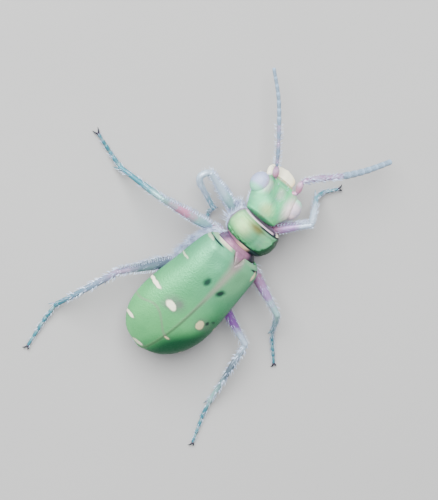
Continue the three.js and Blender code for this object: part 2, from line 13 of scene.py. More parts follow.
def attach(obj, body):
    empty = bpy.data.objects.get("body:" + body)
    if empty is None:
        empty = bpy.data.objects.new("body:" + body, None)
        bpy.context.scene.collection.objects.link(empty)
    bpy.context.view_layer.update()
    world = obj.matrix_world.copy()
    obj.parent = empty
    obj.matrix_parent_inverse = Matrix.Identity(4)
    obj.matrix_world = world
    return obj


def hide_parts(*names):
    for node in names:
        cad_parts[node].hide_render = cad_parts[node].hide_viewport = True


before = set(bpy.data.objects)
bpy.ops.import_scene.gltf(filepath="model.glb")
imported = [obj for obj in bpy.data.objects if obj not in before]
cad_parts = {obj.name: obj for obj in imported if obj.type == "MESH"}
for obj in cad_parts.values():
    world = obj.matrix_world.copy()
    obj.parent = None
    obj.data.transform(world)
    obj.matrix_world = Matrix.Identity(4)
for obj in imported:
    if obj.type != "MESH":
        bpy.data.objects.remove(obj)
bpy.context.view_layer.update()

bl_info = {
    "name": "Green Tiger Beetle",
    "version": (1, 0, 0),
    "blender": (4, 5, 0),
    "location": "3D View > Sidebar > Beetle",
    "description": "Builds a life-size green tiger beetle, plate by plate, with its hairs, floor and light",
    "category": "Object",
}

# Lengths below are millimetres; the scene is in metres. The head looks toward -Y and the left side is +X.
MM = 0.001
WELD = 2e-7
TINY = 1e-12
BODY_PITCH = 5.0
MARGIN_HEIGHT = 3.0
BODY_ORIGIN = (-0.51589, -2.05091, 0.0)

# The head's place on the body, with its turns in degrees.
HEAD_PIVOT = (0.28, -1.95, -0.3)
HEAD_NOD = 26.0
HEAD_ROLL = 1.0

# Plates of the body: (y, half width, top, bottom), and for the wing covers (y, half width, height).
WING_STATIONS = [
    (0.3, 1.62, 0.96),
    (0.5, 1.88, 1.1),
    (0.95, 2.12, 1.32),
    (2.8, 2.36, 1.56),
    (5.3, 2.62, 1.52),
    (6.8, 2.34, 1.2),
    (7.85, 1.55, 0.75),
    (8.4, 0.55, 0.3),
]
WING_FRONT = 0.3
WING_REAR = 8.42
WING_SQUARENESS = 0.9
WING_TIP_ROUNDING = 0.34
WING_RIM_SHARE = 0.87
WING_RIM_DEPTH = 0.3
WING_SEAM = 0.004
THORAX_STATIONS = [
    (-0.2, 0.85, 0.4, -0.6),
    (0.06, 1.16, 0.74, -0.8),
    (0.28, 1.3, 0.84, -0.98),
    (0.55, 1.3, 0.74, -1.04),
    (1.1, 1.5, 0.68, -1.15),
    (2.2, 1.72, 0.8, -1.16),
    (3.7, 1.76, 0.8, -1.1),
    (3.95, 1.74, 0.76, -1.04),
]
SCUTELLUM_STATIONS = [
    (0.14, 0.36, 0.76, 0.5),
    (0.3, 0.35, 0.88, 0.6),
    (0.46, 0.27, 1.0, 0.7),
    (0.66, 0.17, 1.13, 0.8),
    (0.88, 0.06, 1.24, 1.0),
]
WING_NOTCH = {"width": 0.36, "depth": 0.5, "reach": 1.3}
ABDOMEN_STATIONS = [
    (3.75, 1.6, 0.7, -1.0),
    (4.1, 1.78, 0.8, -1.06),
    (4.8, 1.86, 0.78, -1.05),
    (5.6, 1.86, 0.68, -0.95),
    (6.5, 1.55, 0.4, -0.8),
    (7.3, 1.0, -0.05, -0.7),
    (7.8, 0.7, -0.28, -0.66),
    (8.15, 0.42, -0.34, -0.6),
]
ABDOMEN_PLATES = 6
PRONOTUM_STATIONS = [
    (-1.79, 1.24, 0.62, -0.75),
    (-1.64, 1.44, 0.76, -0.86),
    (-1.22, 1.59, 0.87, -0.98),
    (-0.72, 1.6, 0.88, -1.0),
    (-0.22, 1.46, 0.79, -0.92),
    (-0.03, 1.28, 0.68, -0.82),
]
PRONOTUM_GROOVES = ((-1.66, 0.04), (-1.42, 0.12), (-0.29, 0.05))
HEAD_STATIONS = [
    (-2.36, 0.72, 0.34, -0.4),
    (-2.02, 1.0, 0.56, -0.56),
    (-1.55, 1.22, 0.74, -0.72),
    (-0.95, 1.27, 0.79, -0.74),
    (-0.4, 1.17, 0.72, -0.66),
    (0.02, 1.02, 0.58, -0.52),
]
EYE = {"place": (1.35, -1.41, 0.26), "radii": (0.52, 0.64, 0.57)}
LABRUM_STATIONS = [
    (-3.02, 0.1, 0.13, -0.02),
    (-2.97, 0.42, 0.15, -0.04),
    (-2.85, 0.7, 0.19, -0.06),
    (-2.62, 0.8, 0.24, -0.08),
    (-2.34, 0.72, 0.26, -0.08),
]
LABRUM_SHIFT = 0.08
MANDIBLE = {"x": 0.6, "y": -2.46, "z": -0.48, "reach": 0.58, "bow": 0.24, "root": 0.24}
# Teeth of the jaws: share along the jaw and length.
JAW_TEETH = ((0.42, 0.24), (0.58, 0.22), (0.74, 0.17))
PALPS = {
    "maxillary": {"x": 0.86, "y": -1.8, "z": -0.92, "reach": 0.5, "radius": 0.13},
    "labial": {"x": 0.34, "y": -1.95, "z": -1.0, "reach": 0.52, "radius": 0.12},
}

# Feelers: the root on the head, then each stretch as (share of length, heading, degrees up). Headings are
# degrees from the beetle's left toward its tail. The joints are (start, end, neck radius, widest radius).
ANTENNA_LENGTH = 6.5
ANTENNA_ROOTS = {"left": (0.74, -2.14, 0.4), "right": (-0.96, -2.24, 0.5)}
ANTENNA_POSE = {
    "left": [(0.213, -47, 12), (0.27, -48.5, -5), (0.262, -46.5, -10), (0.255, -38.5, -11)],
    "right": [(0.131, -67.5, 12), (0.376, -136.5, -6.5), (0.246, -134.5, -12.5), (0.247, -126, -10)],
}
LASH_STEP = 0.0715
ANTENNA_PARTS = {
    "scape": [(0.0, 0.125, 0.08, 0.19)],
    "stem": [(0.12, 0.17, 0.09, 0.13), (0.165, 0.345, 0.1, 0.14), (0.34, 0.505, 0.1, 0.14)],
    "lash": [(0.5 + LASH_STEP * i, 0.575 + LASH_STEP * i, 0.12, 0.165 - 0.006 * i) for i in range(7)],
}
ANTENNA_GIRTH = {"left": 0.8, "right": 1.3}
STALK_RADII = (0.17, 0.13, 0.09)
SCAPE_TINTS = ("copper", "rose", "blush", "copper")
STEM_TINTS = {
    "left": ("feeler blue", ("mauve", "mauve", "slate_pale", "mauve")),
    "right": ("feeler mauve", ("copper_deep", "copper", "mauve", "copper")),
}

# Legs: joint places follow from the hips, the lengths and each leg's pose.
LEG_LENGTHS = {
    "front": (3.15, 2.8, 1.5),
    "middle": (4.25, 3.1, 2.3),
    "hind": (4.2, 4.95, 3.0),
}
HIPS = {"front": (1.0, -0.98, -1.5), "middle": (1.35, 0.6, -1.35), "hind": (1.45, 3.3, -1.35)}
COXA_ROOTS = {"front": (0.5, -0.95, -1.0), "middle": (0.72, 0.6, -1.15), "hind": (0.75, 3.05, -1.15)}
# A pose has the headings of thigh, shin and foot and the heights of knee and ankle.
POSE_KEYS = ("pair", "side", "femur", "knee", "tibia", "ankle", "tarsus")
LEG_POSES = [dict(zip(POSE_KEYS, row)) for row in (
    ("front", "left", -15, 2.0, 162, 0.9, 125),
    ("front", "right", 239, 3.1, 250, 0.6, 230),
    ("middle", "left", 5.5, 2.6, 11, 0.45, -16),
    ("middle", "right", 160, 2.6, 145, 0.45, 140),
    ("hind", "left", 38, 2.95, 87, 0.45, 102),
    ("hind", "right", 161, 2.0, 113, 0.45, 116),
)]
FOLD_OFFSET = 0.8
TOE_HEIGHT = 0.2
# Joints of a foot: share of its length, radius at the neck and widest radius.
TARSUS_JOINTS = (
    (0.32, 0.07, 0.125),
    (0.2, 0.07, 0.117),
    (0.16, 0.07, 0.109),
    (0.13, 0.07, 0.101),
    (0.19, 0.06, 0.085),
)
TARSUS_OVERLAP = 0.012
# Tints along each thigh, from hip to knee, and on along its shin, from knee to ankle.
LEG_TINTS = {
    ("front", "left"): ("copper", "frost", "ice", "ice", "ice", "teal_pale"),
    ("front", "right"): ("copper", "orchid", "lilac", "ice", "ice", "teal_pale"),
    ("middle", "left"): ("slate_pale", "frost", "rose", "frost", "teal", "teal"),
    ("middle", "right"): ("copper", "orchid", "lilac", "frost", "teal_pale", "teal"),
    # The left hind leg's grey-blue slate tints are painted shade.
    ("hind", "left"): ("copper", "slate", "slate", "mauve", "slate_pale", "teal"),
    ("hind", "right"): ("copper", "violet", "violet", "ice", "slate", "frost"),
}
THIGH_SHARES = (0.0, 0.3, 0.6, 0.9)
SHIN_SHARES = (0.0, 0.45, 0.9)
# The comb of stout hairs on the front side of some thighs: its length in long hairs, and its count.
COMBS = {
    ("hind", "left"): (0.85, 27),
    ("middle", "left"): (0.6, 24),
    ("front", "left"): (0.45, 20),
    ("front", "right"): (0.35, 18),
}
COXA_RADII = (0.34, 0.4, 0.36, 0.24)
TROCHANTER_RADII = (0.14, 0.23, 0.15)
FEMUR_RADII = (0.17, 0.27, 0.33, 0.34, 0.31, 0.27, 0.23, 0.2, 0.19)
TIBIA_RADII = (0.16, 0.19, 0.195, 0.185, 0.17, 0.155, 0.145, 0.14, 0.15)
COMB_TURN = 0.08
# The two spurs of a shin and the two claws of a foot; splay is in degrees, and an arch is its way out and up.
SPUR = {"back": 0.1, "side": 0.12, "reach": 0.42, "drop": 0.08, "lowest": 0.03}
SPUR_RADII = (0.045, 0.035, 0.01)
CLAW = {"splay": 30, "back": 0.06, "arch": (0.2, 0.03), "reach": 0.36, "tip": 0.02}
CLAW_RADII = (0.06, 0.045, 0.01)

# Hairs: the shares of their length that have a ring of three corners, a small turn that keeps the rings
# off a hair's own line, the room left above the floor in metres, a hair's patch of the OFBake map, and
# the bristles that a whole feeler would have.
HAIR_RINGS = (0.0, 0.3, 0.62)
OFF_AXIS = (0.013, 0.029, 0.017)
FLOOR_ROOM = 0.00002
BAKE_PATCH = 0.003
STEM_BRISTLES = 437.5

# The photograph's camera, in the same millimetres as the joints, and its lens.
CAMERA_PLACE = (58.77, -14.03, 108.0)
CAMERA_UP = (0.5546, -0.724, -0.4101)
CAMERA_TOWARD = (0.4797, -0.1246, 0.8686)
CAMERA_LENS = 153.8

# Lights, in metres, and the light of the pale room.
KEY_PLACE = (0.26, -0.12, 0.26)
FILL_PLACE = (-0.1, -0.3, 0.25)
LAMP_SIZE = 0.3
ROOM_LIGHT = (0.95, 0.97, 1.0, 1.0)

PART = Matrix.Scale(MM, 4) @ Matrix.Translation(BODY_ORIGIN)
TRUNK = Matrix.Translation((0.0, 0.0, MARGIN_HEIGHT)) @ Matrix.Rotation(-math.radians(BODY_PITCH), 4, "X")
BODY = PART @ TRUNK
HEAD_TURN = Matrix.Rotation(math.radians(HEAD_NOD), 4, "X") @ Matrix.Rotation(math.radians(HEAD_ROLL), 4, "Y")
HEAD = BODY @ Matrix.Translation(HEAD_PIVOT) @ HEAD_TURN
SIDES = {"left": 1.0, "right": -1.0}
UP = Vector((0.0, 0.0, 1.0))


def clamp(value, low=0.0, high=1.0):
    return max(low, min(high, value))


def ease(value, low, high):
    t = clamp((value - low) / (high - low))
    return t * t * (3.0 - 2.0 * t)


def bell(value, centre, spread):
    return math.exp(-(((value - centre) / spread) ** 2))


def power(value, exponent):
    return math.copysign(abs(value) ** exponent, value)


def reader(stations):
    """A smooth curve of values through stations, read at any place of their first column."""
    known = {}

    def at(place):
        if place in known:
            return known[place]
        i = 0
        while i < len(stations) - 2 and place > stations[i + 1][0]:
            i += 1
        before, start = stations[max(0, i - 1)], stations[i]
        end, after = stations[i + 1], stations[min(len(stations) - 1, i + 2)]
        span = end[0] - start[0]
        t = clamp((place - start[0]) / span)
        values = []
        for c in range(1, len(start)):
            slope_in = (end[c] - before[c]) / (end[0] - before[0]) * span
            slope_out = (after[c] - start[c]) / (after[0] - start[0]) * span
            values.append(
                start[c] * (2 * t**3 - 3 * t**2 + 1)
                + slope_in * (t**3 - 2 * t**2 + t)
                + end[c] * (3 * t**2 - 2 * t**3)
                + slope_out * (t**3 - t**2)
            )
        known[place] = values
        return values

    return at


def evenly(rows):
    """A smooth curve of values through rows that stand at even shares from 0 to 1."""
    return reader([(i / (len(rows) - 1), *row) for i, row in enumerate(rows)])


def sampled(course, start, end, count=6):
    """Points of a course between two of its shares."""
    return [tuple(course(start + (end - start) * i / count)) for i in range(count + 1)]


def straight(start, end):
    """A path of three points, enough for a tube."""
    return [start, start.lerp(end, 0.5), end]


def direction(heading, rise=0.0):
    """A unit vector; headings are degrees from the beetle's left toward its tail."""
    turn, level = math.radians(heading), math.cos(math.radians(rise))
    return Vector((level * math.cos(turn), level * math.sin(turn), math.sin(math.radians(rise))))


def settle(mesh, materials, nodes=()):
    """Makes a mesh an object that rides with the body and takes the place of its solids."""
    for material in materials:
        mesh.materials.append(material)
    piece = bpy.data.objects.new(mesh.name, mesh)
    bpy.context.scene.collection.objects.link(piece)
    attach(piece, "root")
    if nodes:
        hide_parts(*nodes)
    return piece


class Shape:
    """A mesh in the making: bent grids, welded at their seams and poles."""

    def __init__(self):
        self.bm = bmesh.new()
        self.bm.loops.layers.uv.new("Surface")
        self.place = self.bm.verts.layers.float_vector.new("place")

    def surface(self, along, around, point_at, matrix, material=0):
        """Bends a grid by point_at(u, v), u running along the form and v around it."""
        grid = bmesh.ops.create_grid(self.bm, x_segments=along, y_segments=around, size=0.5, calc_uvs=True)
        made = grid["verts"]
        for vert in made:
            point = Vector(point_at(vert.co.x + 0.5, vert.co.y + 0.5))
            vert[self.place] = point
            vert.co = matrix @ point
        for face in {face for vert in made for face in vert.link_faces}:
            face.material_index = material
            face.smooth = True
        bmesh.ops.remove_doubles(self.bm, verts=made, dist=WELD)
        return self

    def finish(self, name, slot, nodes, materials, closed=True):
        if closed:
            bmesh.ops.recalc_face_normals(self.bm, faces=self.bm.faces[:])
        mesh = bpy.data.meshes.new(name)
        self.bm.to_mesh(mesh)
        self.bm.free()
        return settle(mesh, materials, nodes)


def rounded(u, cap):
    """Width, push past the end (negative at the start) and share of the length, with a cap at each end."""
    scale, push = 1.0, 0.0
    if u < cap:
        turn = math.pi / 2 * u / cap
        scale, push = math.sin(turn), -math.cos(turn)
    elif u > 1 - cap:
        turn = math.pi / 2 * (1 - u) / cap
        scale, push = math.sin(turn), math.cos(turn)
    return scale, push, clamp((u - cap) / (1 - 2 * cap))


def hull(stations, squareness=0.86, cap=0.07, bulges=(0.12, 0.12), relief=None, middle=0.0):
    """point_at for a body form along Y, rounded off at both ends."""
    at = reader(stations)
    first, last = stations[0][0], stations[-1][0]

    def point_at(u, v):
        scale, push, share = rounded(u, cap)
        y = first + (last - first) * share
        half, top, bottom = at(y)
        turn = 2 * math.pi * v
        swell = 1.0 + (relief(y, turn) if relief else 0.0) * ease(scale, 0.3, 1.0)
        across = half * power(math.cos(turn), squareness) * scale * swell
        upward = (top - bottom) / 2 * power(math.sin(turn), squareness) * scale * swell
        return (middle + across, y + bulges[0 if push < 0 else 1] * push, (top + bottom) / 2 + upward)

    return point_at


def tube(path, radii, flat=(1.0, 1.0), cap=0.1):
    """point_at for a rod along a path, with a radius read along it, rounded off at both ends."""
    at = evenly([(radius,) for radius in radii])
    course = evenly(path)
    length = sum((Vector(b) - Vector(a)).length for a, b in zip(path, path[1:]))
    step = 0.02

    def point_at(u, v):
        scale, push, share = rounded(u, cap)
        ahead = Vector(course(min(1.0, share + step))) - Vector(course(max(0.0, share - step)))
        along = ahead.normalized()
        sideways = along.cross(UP).normalized()
        radius = at(share)[0]
        push = clamp(radius * 0.5 * push, -length / 3, length / 3)
        turn, reach = 2 * math.pi * v, radius * scale
        across = sideways * (math.cos(turn) * reach * flat[0])
        upward = sideways.cross(along) * (math.sin(turn) * reach * flat[1])
        return Vector(course(share)) + along * push + across + upward

    return point_at


class Finish:
    """A procedural finish in the making, around one Principled shader; lay puts tint upon tint."""

    def __init__(self, name):
        self.material = bpy.data.materials.new(name)
        self.material.use_nodes = True
        self.tree = self.material.node_tree
        self.tree.nodes.clear()
        output = self.tree.nodes.new("ShaderNodeOutputMaterial")
        self.shader = self.tree.nodes.new("ShaderNodeBsdfPrincipled")
        self.tree.links.new(self.shader.outputs[0], output.inputs[0])
        self.color = None

    def wire(self, socket, value):
        if isinstance(value, bpy.types.NodeSocket):
            self.tree.links.new(value, socket)
        else:
            socket.default_value = value

    def node(self, kind, inputs=(), output=0, **settings):
        node = self.tree.nodes.new("ShaderNode" + kind)
        for key, value in settings.items():
            setattr(node, key, value)
        for key, value in dict(inputs).items():
            self.wire(node.inputs[key], value)
        return node.outputs[output]

    def calc(self, operation, a, b=0.0):
        return self.node("Math", {0: a, 1: b}, operation=operation)

    def times(self, a, b):
        return self.calc("MULTIPLY", a, b)

    def plus(self, a, b):
        return self.calc("ADD", a, b)

    def vector(self, operation, a, b=(0.0, 0.0, 0.0)):
        output = "Value" if operation == "LENGTH" else "Vector"
        return self.node("VectorMath", {0: a, 1: b}, output, operation=operation)

    def mix(self, factor, a, b):
        return self.node("Mix", {0: factor, 6: tone(a), 7: tone(b)}, 2, data_type="RGBA")

    def lay(self, mask, tint, amount=1.0):
        """Lays a tint over the colour so far, as strong as the mask says."""
        self.color = self.mix(mask, self.color, tone(tint, amount))

    def span(self, value, low, high, to_low=0.0, to_high=1.0):
        inputs = {0: value, 1: low, 2: high, 3: to_low, 4: to_high}
        return self.node("MapRange", inputs, interpolation_type="SMOOTHSTEP")

    def noise(self, coords, scale, detail=3.0, roughness=0.55):
        inputs = {"Vector": coords, "Scale": scale, "Detail": detail, "Roughness": roughness}
        return self.node("TexNoise", inputs)

    def cells(self, coords, scale):
        return self.node("TexVoronoi", {"Vector": coords, "Scale": scale})

    def place(self):
        """Millimetres in the piece's own space."""
        return self.node("Attribute", output="Vector", attribute_name="place")

    def object_mm(self):
        return self.vector("MULTIPLY", self.node("TexCoord", output="Object"), (1 / MM, 1 / MM, 1 / MM))

    def share(self):
        """0 to 1 along the form."""
        return self.split(self.node("UVMap", uv_map="Surface"), 0)

    def split(self, coords, axis):
        return self.node("SeparateXYZ", {0: coords}, axis)

    def axes(self, coords):
        return [self.split(coords, axis) for axis in range(3)]

    def mirrored(self, coords):
        """Coordinates with both sides of the body folded onto the left."""
        x, y, z = self.axes(coords)
        return self.node("CombineXYZ", {0: self.calc("ABSOLUTE", x), 1: y, 2: z})

    def spot(self, coords, centre, reach, strength=1.0, soft=0.25, turn=0.0):
        """A mask for an oval spot on the back, fading over its soft edge; turn, in degrees, slants it."""
        offset = self.vector("SUBTRACT", coords, (centre[0], centre[1], 0.0))
        if turn:
            axis = {"Vector": offset, "Angle": -math.radians(turn)}
            offset = self.node("VectorRotate", axis, rotation_type="Z_AXIS")
        scaled = self.vector("MULTIPLY", offset, (1 / reach[0], 1 / reach[1], 0.0))
        return self.span(self.vector("LENGTH", scaled), 1.0 - soft, 1.0 + soft, strength, 0.0)

    def bumps(self, *layers):
        """Stacks (height, strength, distance in millimetres) layers of bump."""
        normal = None
        for height, strength, distance in layers:
            inputs = {"Height": height, "Strength": strength, "Distance": distance * MM}
            if normal is not None:
                inputs["Normal"] = normal
            normal = self.node("Bump", inputs)
        self.wire(self.shader.inputs["Normal"], normal)

    def done(self, roughness, metallic=0.0, specular=0.5, **weights):
        """Wires the shader; coat and sheen, where given, are pairs of weight and roughness."""
        inputs = {"Base Color": self.color, "Roughness": roughness, "Metallic": metallic}
        inputs["Specular IOR Level"] = specular
        for layer, (weight, layer_roughness) in weights.items():
            inputs[f"{layer.title()} Weight"] = weight
            inputs[f"{layer.title()} Roughness"] = layer_roughness
        for key, value in inputs.items():
            self.wire(self.shader.inputs[key], value)
        return self.material


def tone(color, amount=1.0):
    """A colour as four numbers, made lighter or darker; a node's colour stays as it is."""
    if isinstance(color, bpy.types.NodeSocket):
        return color
    return (color[0] * amount, color[1] * amount, color[2] * amount, 1.0)


# Marks of the wing covers: (centre across, centre along), (reach across, reach along), strength, and
# for spots a slant in degrees. The left cover's marks have a centre above 0, the right one's below.
CREAM_SPOTS = [
    ((2.41, 4.67), (0.27, 0.12), 1.0, 0),
    ((2.06, 7.1), (0.21, 0.1), 1.0, 0),
    ((1.98, 0.62), (0.2, 0.1), 0.35, 0),
    ((2.25, 2.4), (0.12, 0.06), 0.45, 0),
    ((1.14, 4.94), (0.38, 0.21), 1.0, -14),
    ((0.46, 8.13), (0.36, 0.13), 0.85, 0),
    ((-1.1, 4.83), (0.32, 0.24), 0.9, -45),
    ((-0.28, 6.66), (0.19, 0.07), 0.75, 0),
    ((-1.56, 0.8), (0.1, 0.28), 0.75, 0),
    ((-2.5, 4.67), (0.24, 0.12), 1.0, 0),
    ((-2.1, 7.1), (0.2, 0.12), 1.0, 0),
]
DARK_SPOTS = [
    ((0.61, 2.56), (0.21, 0.25), 0.85, 0),
    ((-0.52, 2.62), (0.27, 0.19), 0.9, 40),
    ((-1.4, 4.5), (0.12, 0.12), 0.85, 0),
    ((-1.72, 4.28), (0.13, 0.09), 0.6, 0),
]
HALOS = [
    ((1.02, 4.72), (0.6, 0.42), 0.5),
    ((0.85, 4.6), (0.22, 0.2), 0.5),
    ((1.45, 5.2), (0.24, 0.16), 0.35),
    ((-1.25, 4.7), (0.6, 0.4), 0.35),
]
RING_WIDTH = 0.08
# Tints of the head, placed like the marks above.
HEAD_MARKS = [
    # The first mark, the palest mint on the head's left rear, is partly the head's own mint and partly a
    # painted highlight.
    ((0.85, -0.65), (0.42, 0.36), 0.9, "mint_white"),
    ((0.2, -0.35), (0.45, 0.34), 0.6, "butter"),
    ((-0.72, -0.5), (0.42, 0.5), 0.75, "mint_strong"),
    ((-0.1, -0.9), (0.2, 0.5), 0.5, "mint_strong"),
    ((0.5, -1.5), (0.14, 0.6), 0.45, "mint_strong"),
    ((0.98, -0.1), (0.35, 0.3), 0.5, "mint_strong"),
    ((-0.7, -0.05), (0.4, 0.2), 0.6, "wing_rear"),
    ((-0.02, -1.55), (0.26, 0.36), 0.4, "frost_pink"),
    ((-1.1, -1.2), (0.5, 0.75), 0.9, "eye_warm"),
    ((1.05, -1.45), (0.28, 0.42), 0.45, "frost_pink"),
    ((0.78, -2.15), (0.1, 0.3), 0.7, "wing_deep"),
]


def wing_finish(colours):
    finish = Finish("wing cover green")
    lay, span, times, spot = finish.lay, finish.span, finish.times, finish.spot
    coords = finish.place()
    even = finish.mirrored(coords)
    x, y, z = finish.axes(even)
    own_x = finish.split(coords, 0)
    speck = finish.noise(coords, 9.0, 2.0)
    grain = finish.cells(coords, 15.0)
    finish.color = finish.mix(span(y, 1.0, 6.5), colours.wing_front, colours.wing_rear)
    lay(span(finish.noise(coords, 0.6, 4.0), 0.4, 0.75, 0.0, 0.32), colours.wing_deep)
    lay(span(speck, 0.6, 0.78, 0.0, 0.25), colours.wing_deep, 0.7)
    lay(span(grain, 0.0, 0.35, 0.25, 0.0), colours.pit)
    # A lighter green patch on the right cover's front: painted light.
    lay(spot(coords, (-0.85, 1.5), (0.9, 1.2), 0.55, 0.6), colours.wing_light)

    # The right cover darkens toward its outer edge and its rear: painted shade.
    across = finish.plus(own_x, span(y, 5.0, 7.2, 0.0, -1.3))
    shade = times(span(across, -2.1, -0.6, 1.0, 0.0), span(y, 1.2, 6.0, 0.1, 1.0))
    lay(finish.calc("MAXIMUM", shade, span(own_x, -2.35, -1.5, 0.85, 0.0)), colours.wing_shade)
    # A deeper green patch on the left cover's dome: painted shade that dims the lamp's highlight there.
    lay(spot(coords, (1.6, 3.3), (0.9, 1.9), 0.5, 0.7), colours.wing_deep)
    lay(times(span(z, -0.06, 0.1, 0.5, 0.0), span(own_x, -0.5, 0.5)), colours.margin)

    # The pale seam and the fine dark crease beside it; the crease's darkening is painted shade.
    seam_off = finish.calc("ABSOLUTE", finish.plus(own_x, span(y, 0.4, 2.5, 0.1, 0.06)))
    seam = span(finish.calc("DIVIDE", seam_off, span(y, 0.4, 4.5, 0.5, 0.2)), 0.0, 1.0, 1.0, 0.0)
    seam_tint = finish.mix(span(y, 4.0, 7.0), colours.suture, colours.suture_rear)
    lay(times(seam, span(y, 1.0, 5.0, 0.8, 0.5)), seam_tint)
    crease = finish.calc("ABSOLUTE", finish.plus(own_x, 0.1))
    lay(times(span(crease, 0.02, 0.12, 0.45, 0.0), span(y, 2.4, 4.5)), colours.wing_shade, 0.6)

    # The front edge: collar, notch, painted shadow in the slits at the shoulders, and a cream rim that is
    # painted highlight, strong on the left cover only.
    lay(spot(coords, (-0.04, 0.6), (0.4, 0.5), 0.55, 0.7), colours.orchid)
    lay(times(span(finish.share(), 0.03, 0.11, 0.9, 0.0), span(x, 0.3, 0.5, 1.0, 0.0)), colours.suture, 0.45)
    lay(spot(even, (1.56, 0.54), (0.42, 0.05), 1.0, 0.4), colours.dark)
    rim = times(span(y, 0.4, 0.5, 0.95, 0.0), span(x, 1.35, 1.6, 1.0, 0.3))
    lay(times(rim, span(own_x, 0.5, 0.85, 0.1, 1.0)), colours.cream)

    # Halos, the bend line across the left cover, and spots with uneven edges.
    wobble = finish.node("TexNoise", {"Vector": coords, "Scale": 3.0}, 1)
    drift = finish.vector("MULTIPLY", finish.vector("SUBTRACT", wobble, (0.5, 0.5, 0.5)), (0.16, 0.16, 0.0))
    own = finish.vector("ADD", coords, drift)
    for centre, reach, strength in HALOS:
        lay(spot(own, centre, reach, strength, 0.6), colours.halo)
    bend = finish.plus(span(own_x, -0.3, 1.75, 6.66, 5.56), span(own_x, 1.8, 2.6, 0.0, 0.4))
    line = finish.calc("ABSOLUTE", finish.calc("SUBTRACT", y, bend))
    lay(times(span(line, 0.0, 0.15, 0.5, 0.0), span(own_x, -0.4, 0.0)), colours.suture, 0.8)
    spots = 0.0
    for centre, reach, strength, turn in CREAM_SPOTS:
        ring = (reach[0] + RING_WIDTH, reach[1] + RING_WIDTH)
        lay(spot(own, centre, ring, 0.3 * strength, 0.4, turn), colours.halo)
        mask = spot(own, centre, reach, strength, turn=turn)
        # Spots on the shaded right cover take the darker cream: painted shade.
        lay(mask, colours.cream if centre[0] > 0 else colours.cream_shade)
        spots = finish.calc("MAXIMUM", spots, mask)
    for centre, reach, strength, turn in DARK_SPOTS:
        lay(spot(own, centre, reach, strength, 0.6, turn), colours.dark)
    finish.bumps((grain, 0.3, 0.03), (speck, 0.25, 0.05), (finish.noise(coords, 45.0, 2.0), 0.2, 0.01))
    metallic = span(spots, 0.2, 0.8, 0.55, 0.0)
    return finish.done(span(speck, 0.3, 0.8, 0.46, 0.6), metallic, 0.3, coat=(0.03, 0.4))


def shell_finish(name, colours, tints, streaks, metallic=0.3, bands=None):
    """A wrinkled shell in a main, a deep and an accent tint; streaks stretches its wrinkles."""
    main, deep, accent = (getattr(colours, tint) for tint in tints)
    finish = Finish(name)
    coords = finish.place()
    wrinkle = finish.noise(finish.vector("MULTIPLY", coords, streaks), 5.0, 4.0, 0.6)
    grain = finish.cells(coords, 18.0)
    finish.color = finish.mix(finish.span(finish.noise(coords, 1.1), 0.35, 0.68), main, deep)
    finish.lay(finish.span(wrinkle, 0.5, 0.72, 0.0, 0.45), accent)
    finish.lay(finish.span(grain, 0.0, 0.3, 0.25, 0.0), deep, 0.6)
    if bands:
        bands(finish, coords, colours)
    finish.bumps((wrinkle, 0.8, 0.06), (grain, 0.3, 0.02))
    return finish.done(finish.span(wrinkle, 0.3, 0.7, 0.42, 0.58), metallic, 0.3, coat=(0.04, 0.35))


def pronotum_bands(finish, coords, colours):
    lay, span, times, spot = finish.lay, finish.span, finish.times, finish.spot
    x, y, z = finish.axes(coords)
    lay(span(x, -1.1, 0.3, 0.55, 0.0), colours.wing_front)
    lay(spot(coords, (0.95, -1.05), (0.6, 0.6), 0.5, 0.6), colours.butter, 1.15)
    # A darker patch in the middle: painted shade that dims the lamp's highlight there.
    lay(spot(coords, (0.15, -0.95), (0.55, 0.75), 0.8, 0.7), colours.wing_front, 0.75)
    lay(span(y, -0.95, -0.4, 0.0, 0.7), colours.wing_deep)

    # Painted shade over the rear, with a ragged edge that bends forward on the right, and the olive mark.
    bend = times(finish.calc("POWER", span(x, -1.6, 0.0, 1.6, 0.0), 2.0), 0.75)
    ragged = span(finish.noise(coords, 6.0), 0.3, 0.7, -0.09, 0.09)
    behind = finish.plus(finish.plus(y, bend), ragged)
    lay(span(behind, -0.5, -0.24, 0.0, 0.9), colours.wing_shade, 0.35)
    lay(spot(coords, (0.4, -1.46), (0.5, 0.22), 0.85, 0.8), colours.olive)

    # The front edge: a dark line behind a strip that is cream, dark and pink from right to left. The dark
    # line, in the front groove, and the strip's dark middle, a gap, are painted shade.
    lay(times(span(y, -1.66, -1.6, 1.0, 0.0), span(x, 0.1, 0.5, 0.95, 0.3)), colours.dark)
    strip = finish.mix(span(x, -0.78, -0.62), colours.dark, colours.frost_pink)
    strip = finish.mix(span(x, -1.02, -0.92), colours.cream, strip)
    lay(span(y, -1.745, -1.72, 1.0, 0.0), strip)
    lay(span(finish.share(), 0.062, 0.08, 0.95, 0.0), colours.copper_deep)

    # The rear edge, dark on its right, with a dark groove before it; both darkenings are painted shade.
    rear = finish.mix(span(x, 0.3, 0.9), colours.peach, colours.orchid)
    lay(span(y, -0.26, -0.22), finish.mix(span(x, -0.35, 0.15, 1.0, 0.0), rear, colours.dark))
    groove = span(finish.calc("ABSOLUTE", finish.plus(y, 0.29)), 0.02, 0.06, 0.9, 0.0)
    lay(times(groove, span(x, 0.5, 0.9, 1.0, 0.1)), colours.dark)
    lay(span(z, -0.3, 0.05, 0.9, 0.0), colours.copper)


def thorax_bands(finish, coords, colours):
    lay, span, times = finish.lay, finish.span, finish.times
    x, y, z = finish.axes(coords)
    lay(times(span(y, 0.5, 1.0, 1.0, 0.0), span(z, 0.2, 0.6)), colours.orchid, 0.85)
    lay(span(y, 0.35, 0.75, 0.0, 0.8), colours.suture, 0.55)
    # Painted shadow in the gap at the thorax's right front.
    lay(times(span(x, -0.75, -0.3, 0.95, 0.0), span(y, 0.4, 0.6, 1.0, 0.0)), colours.dark)


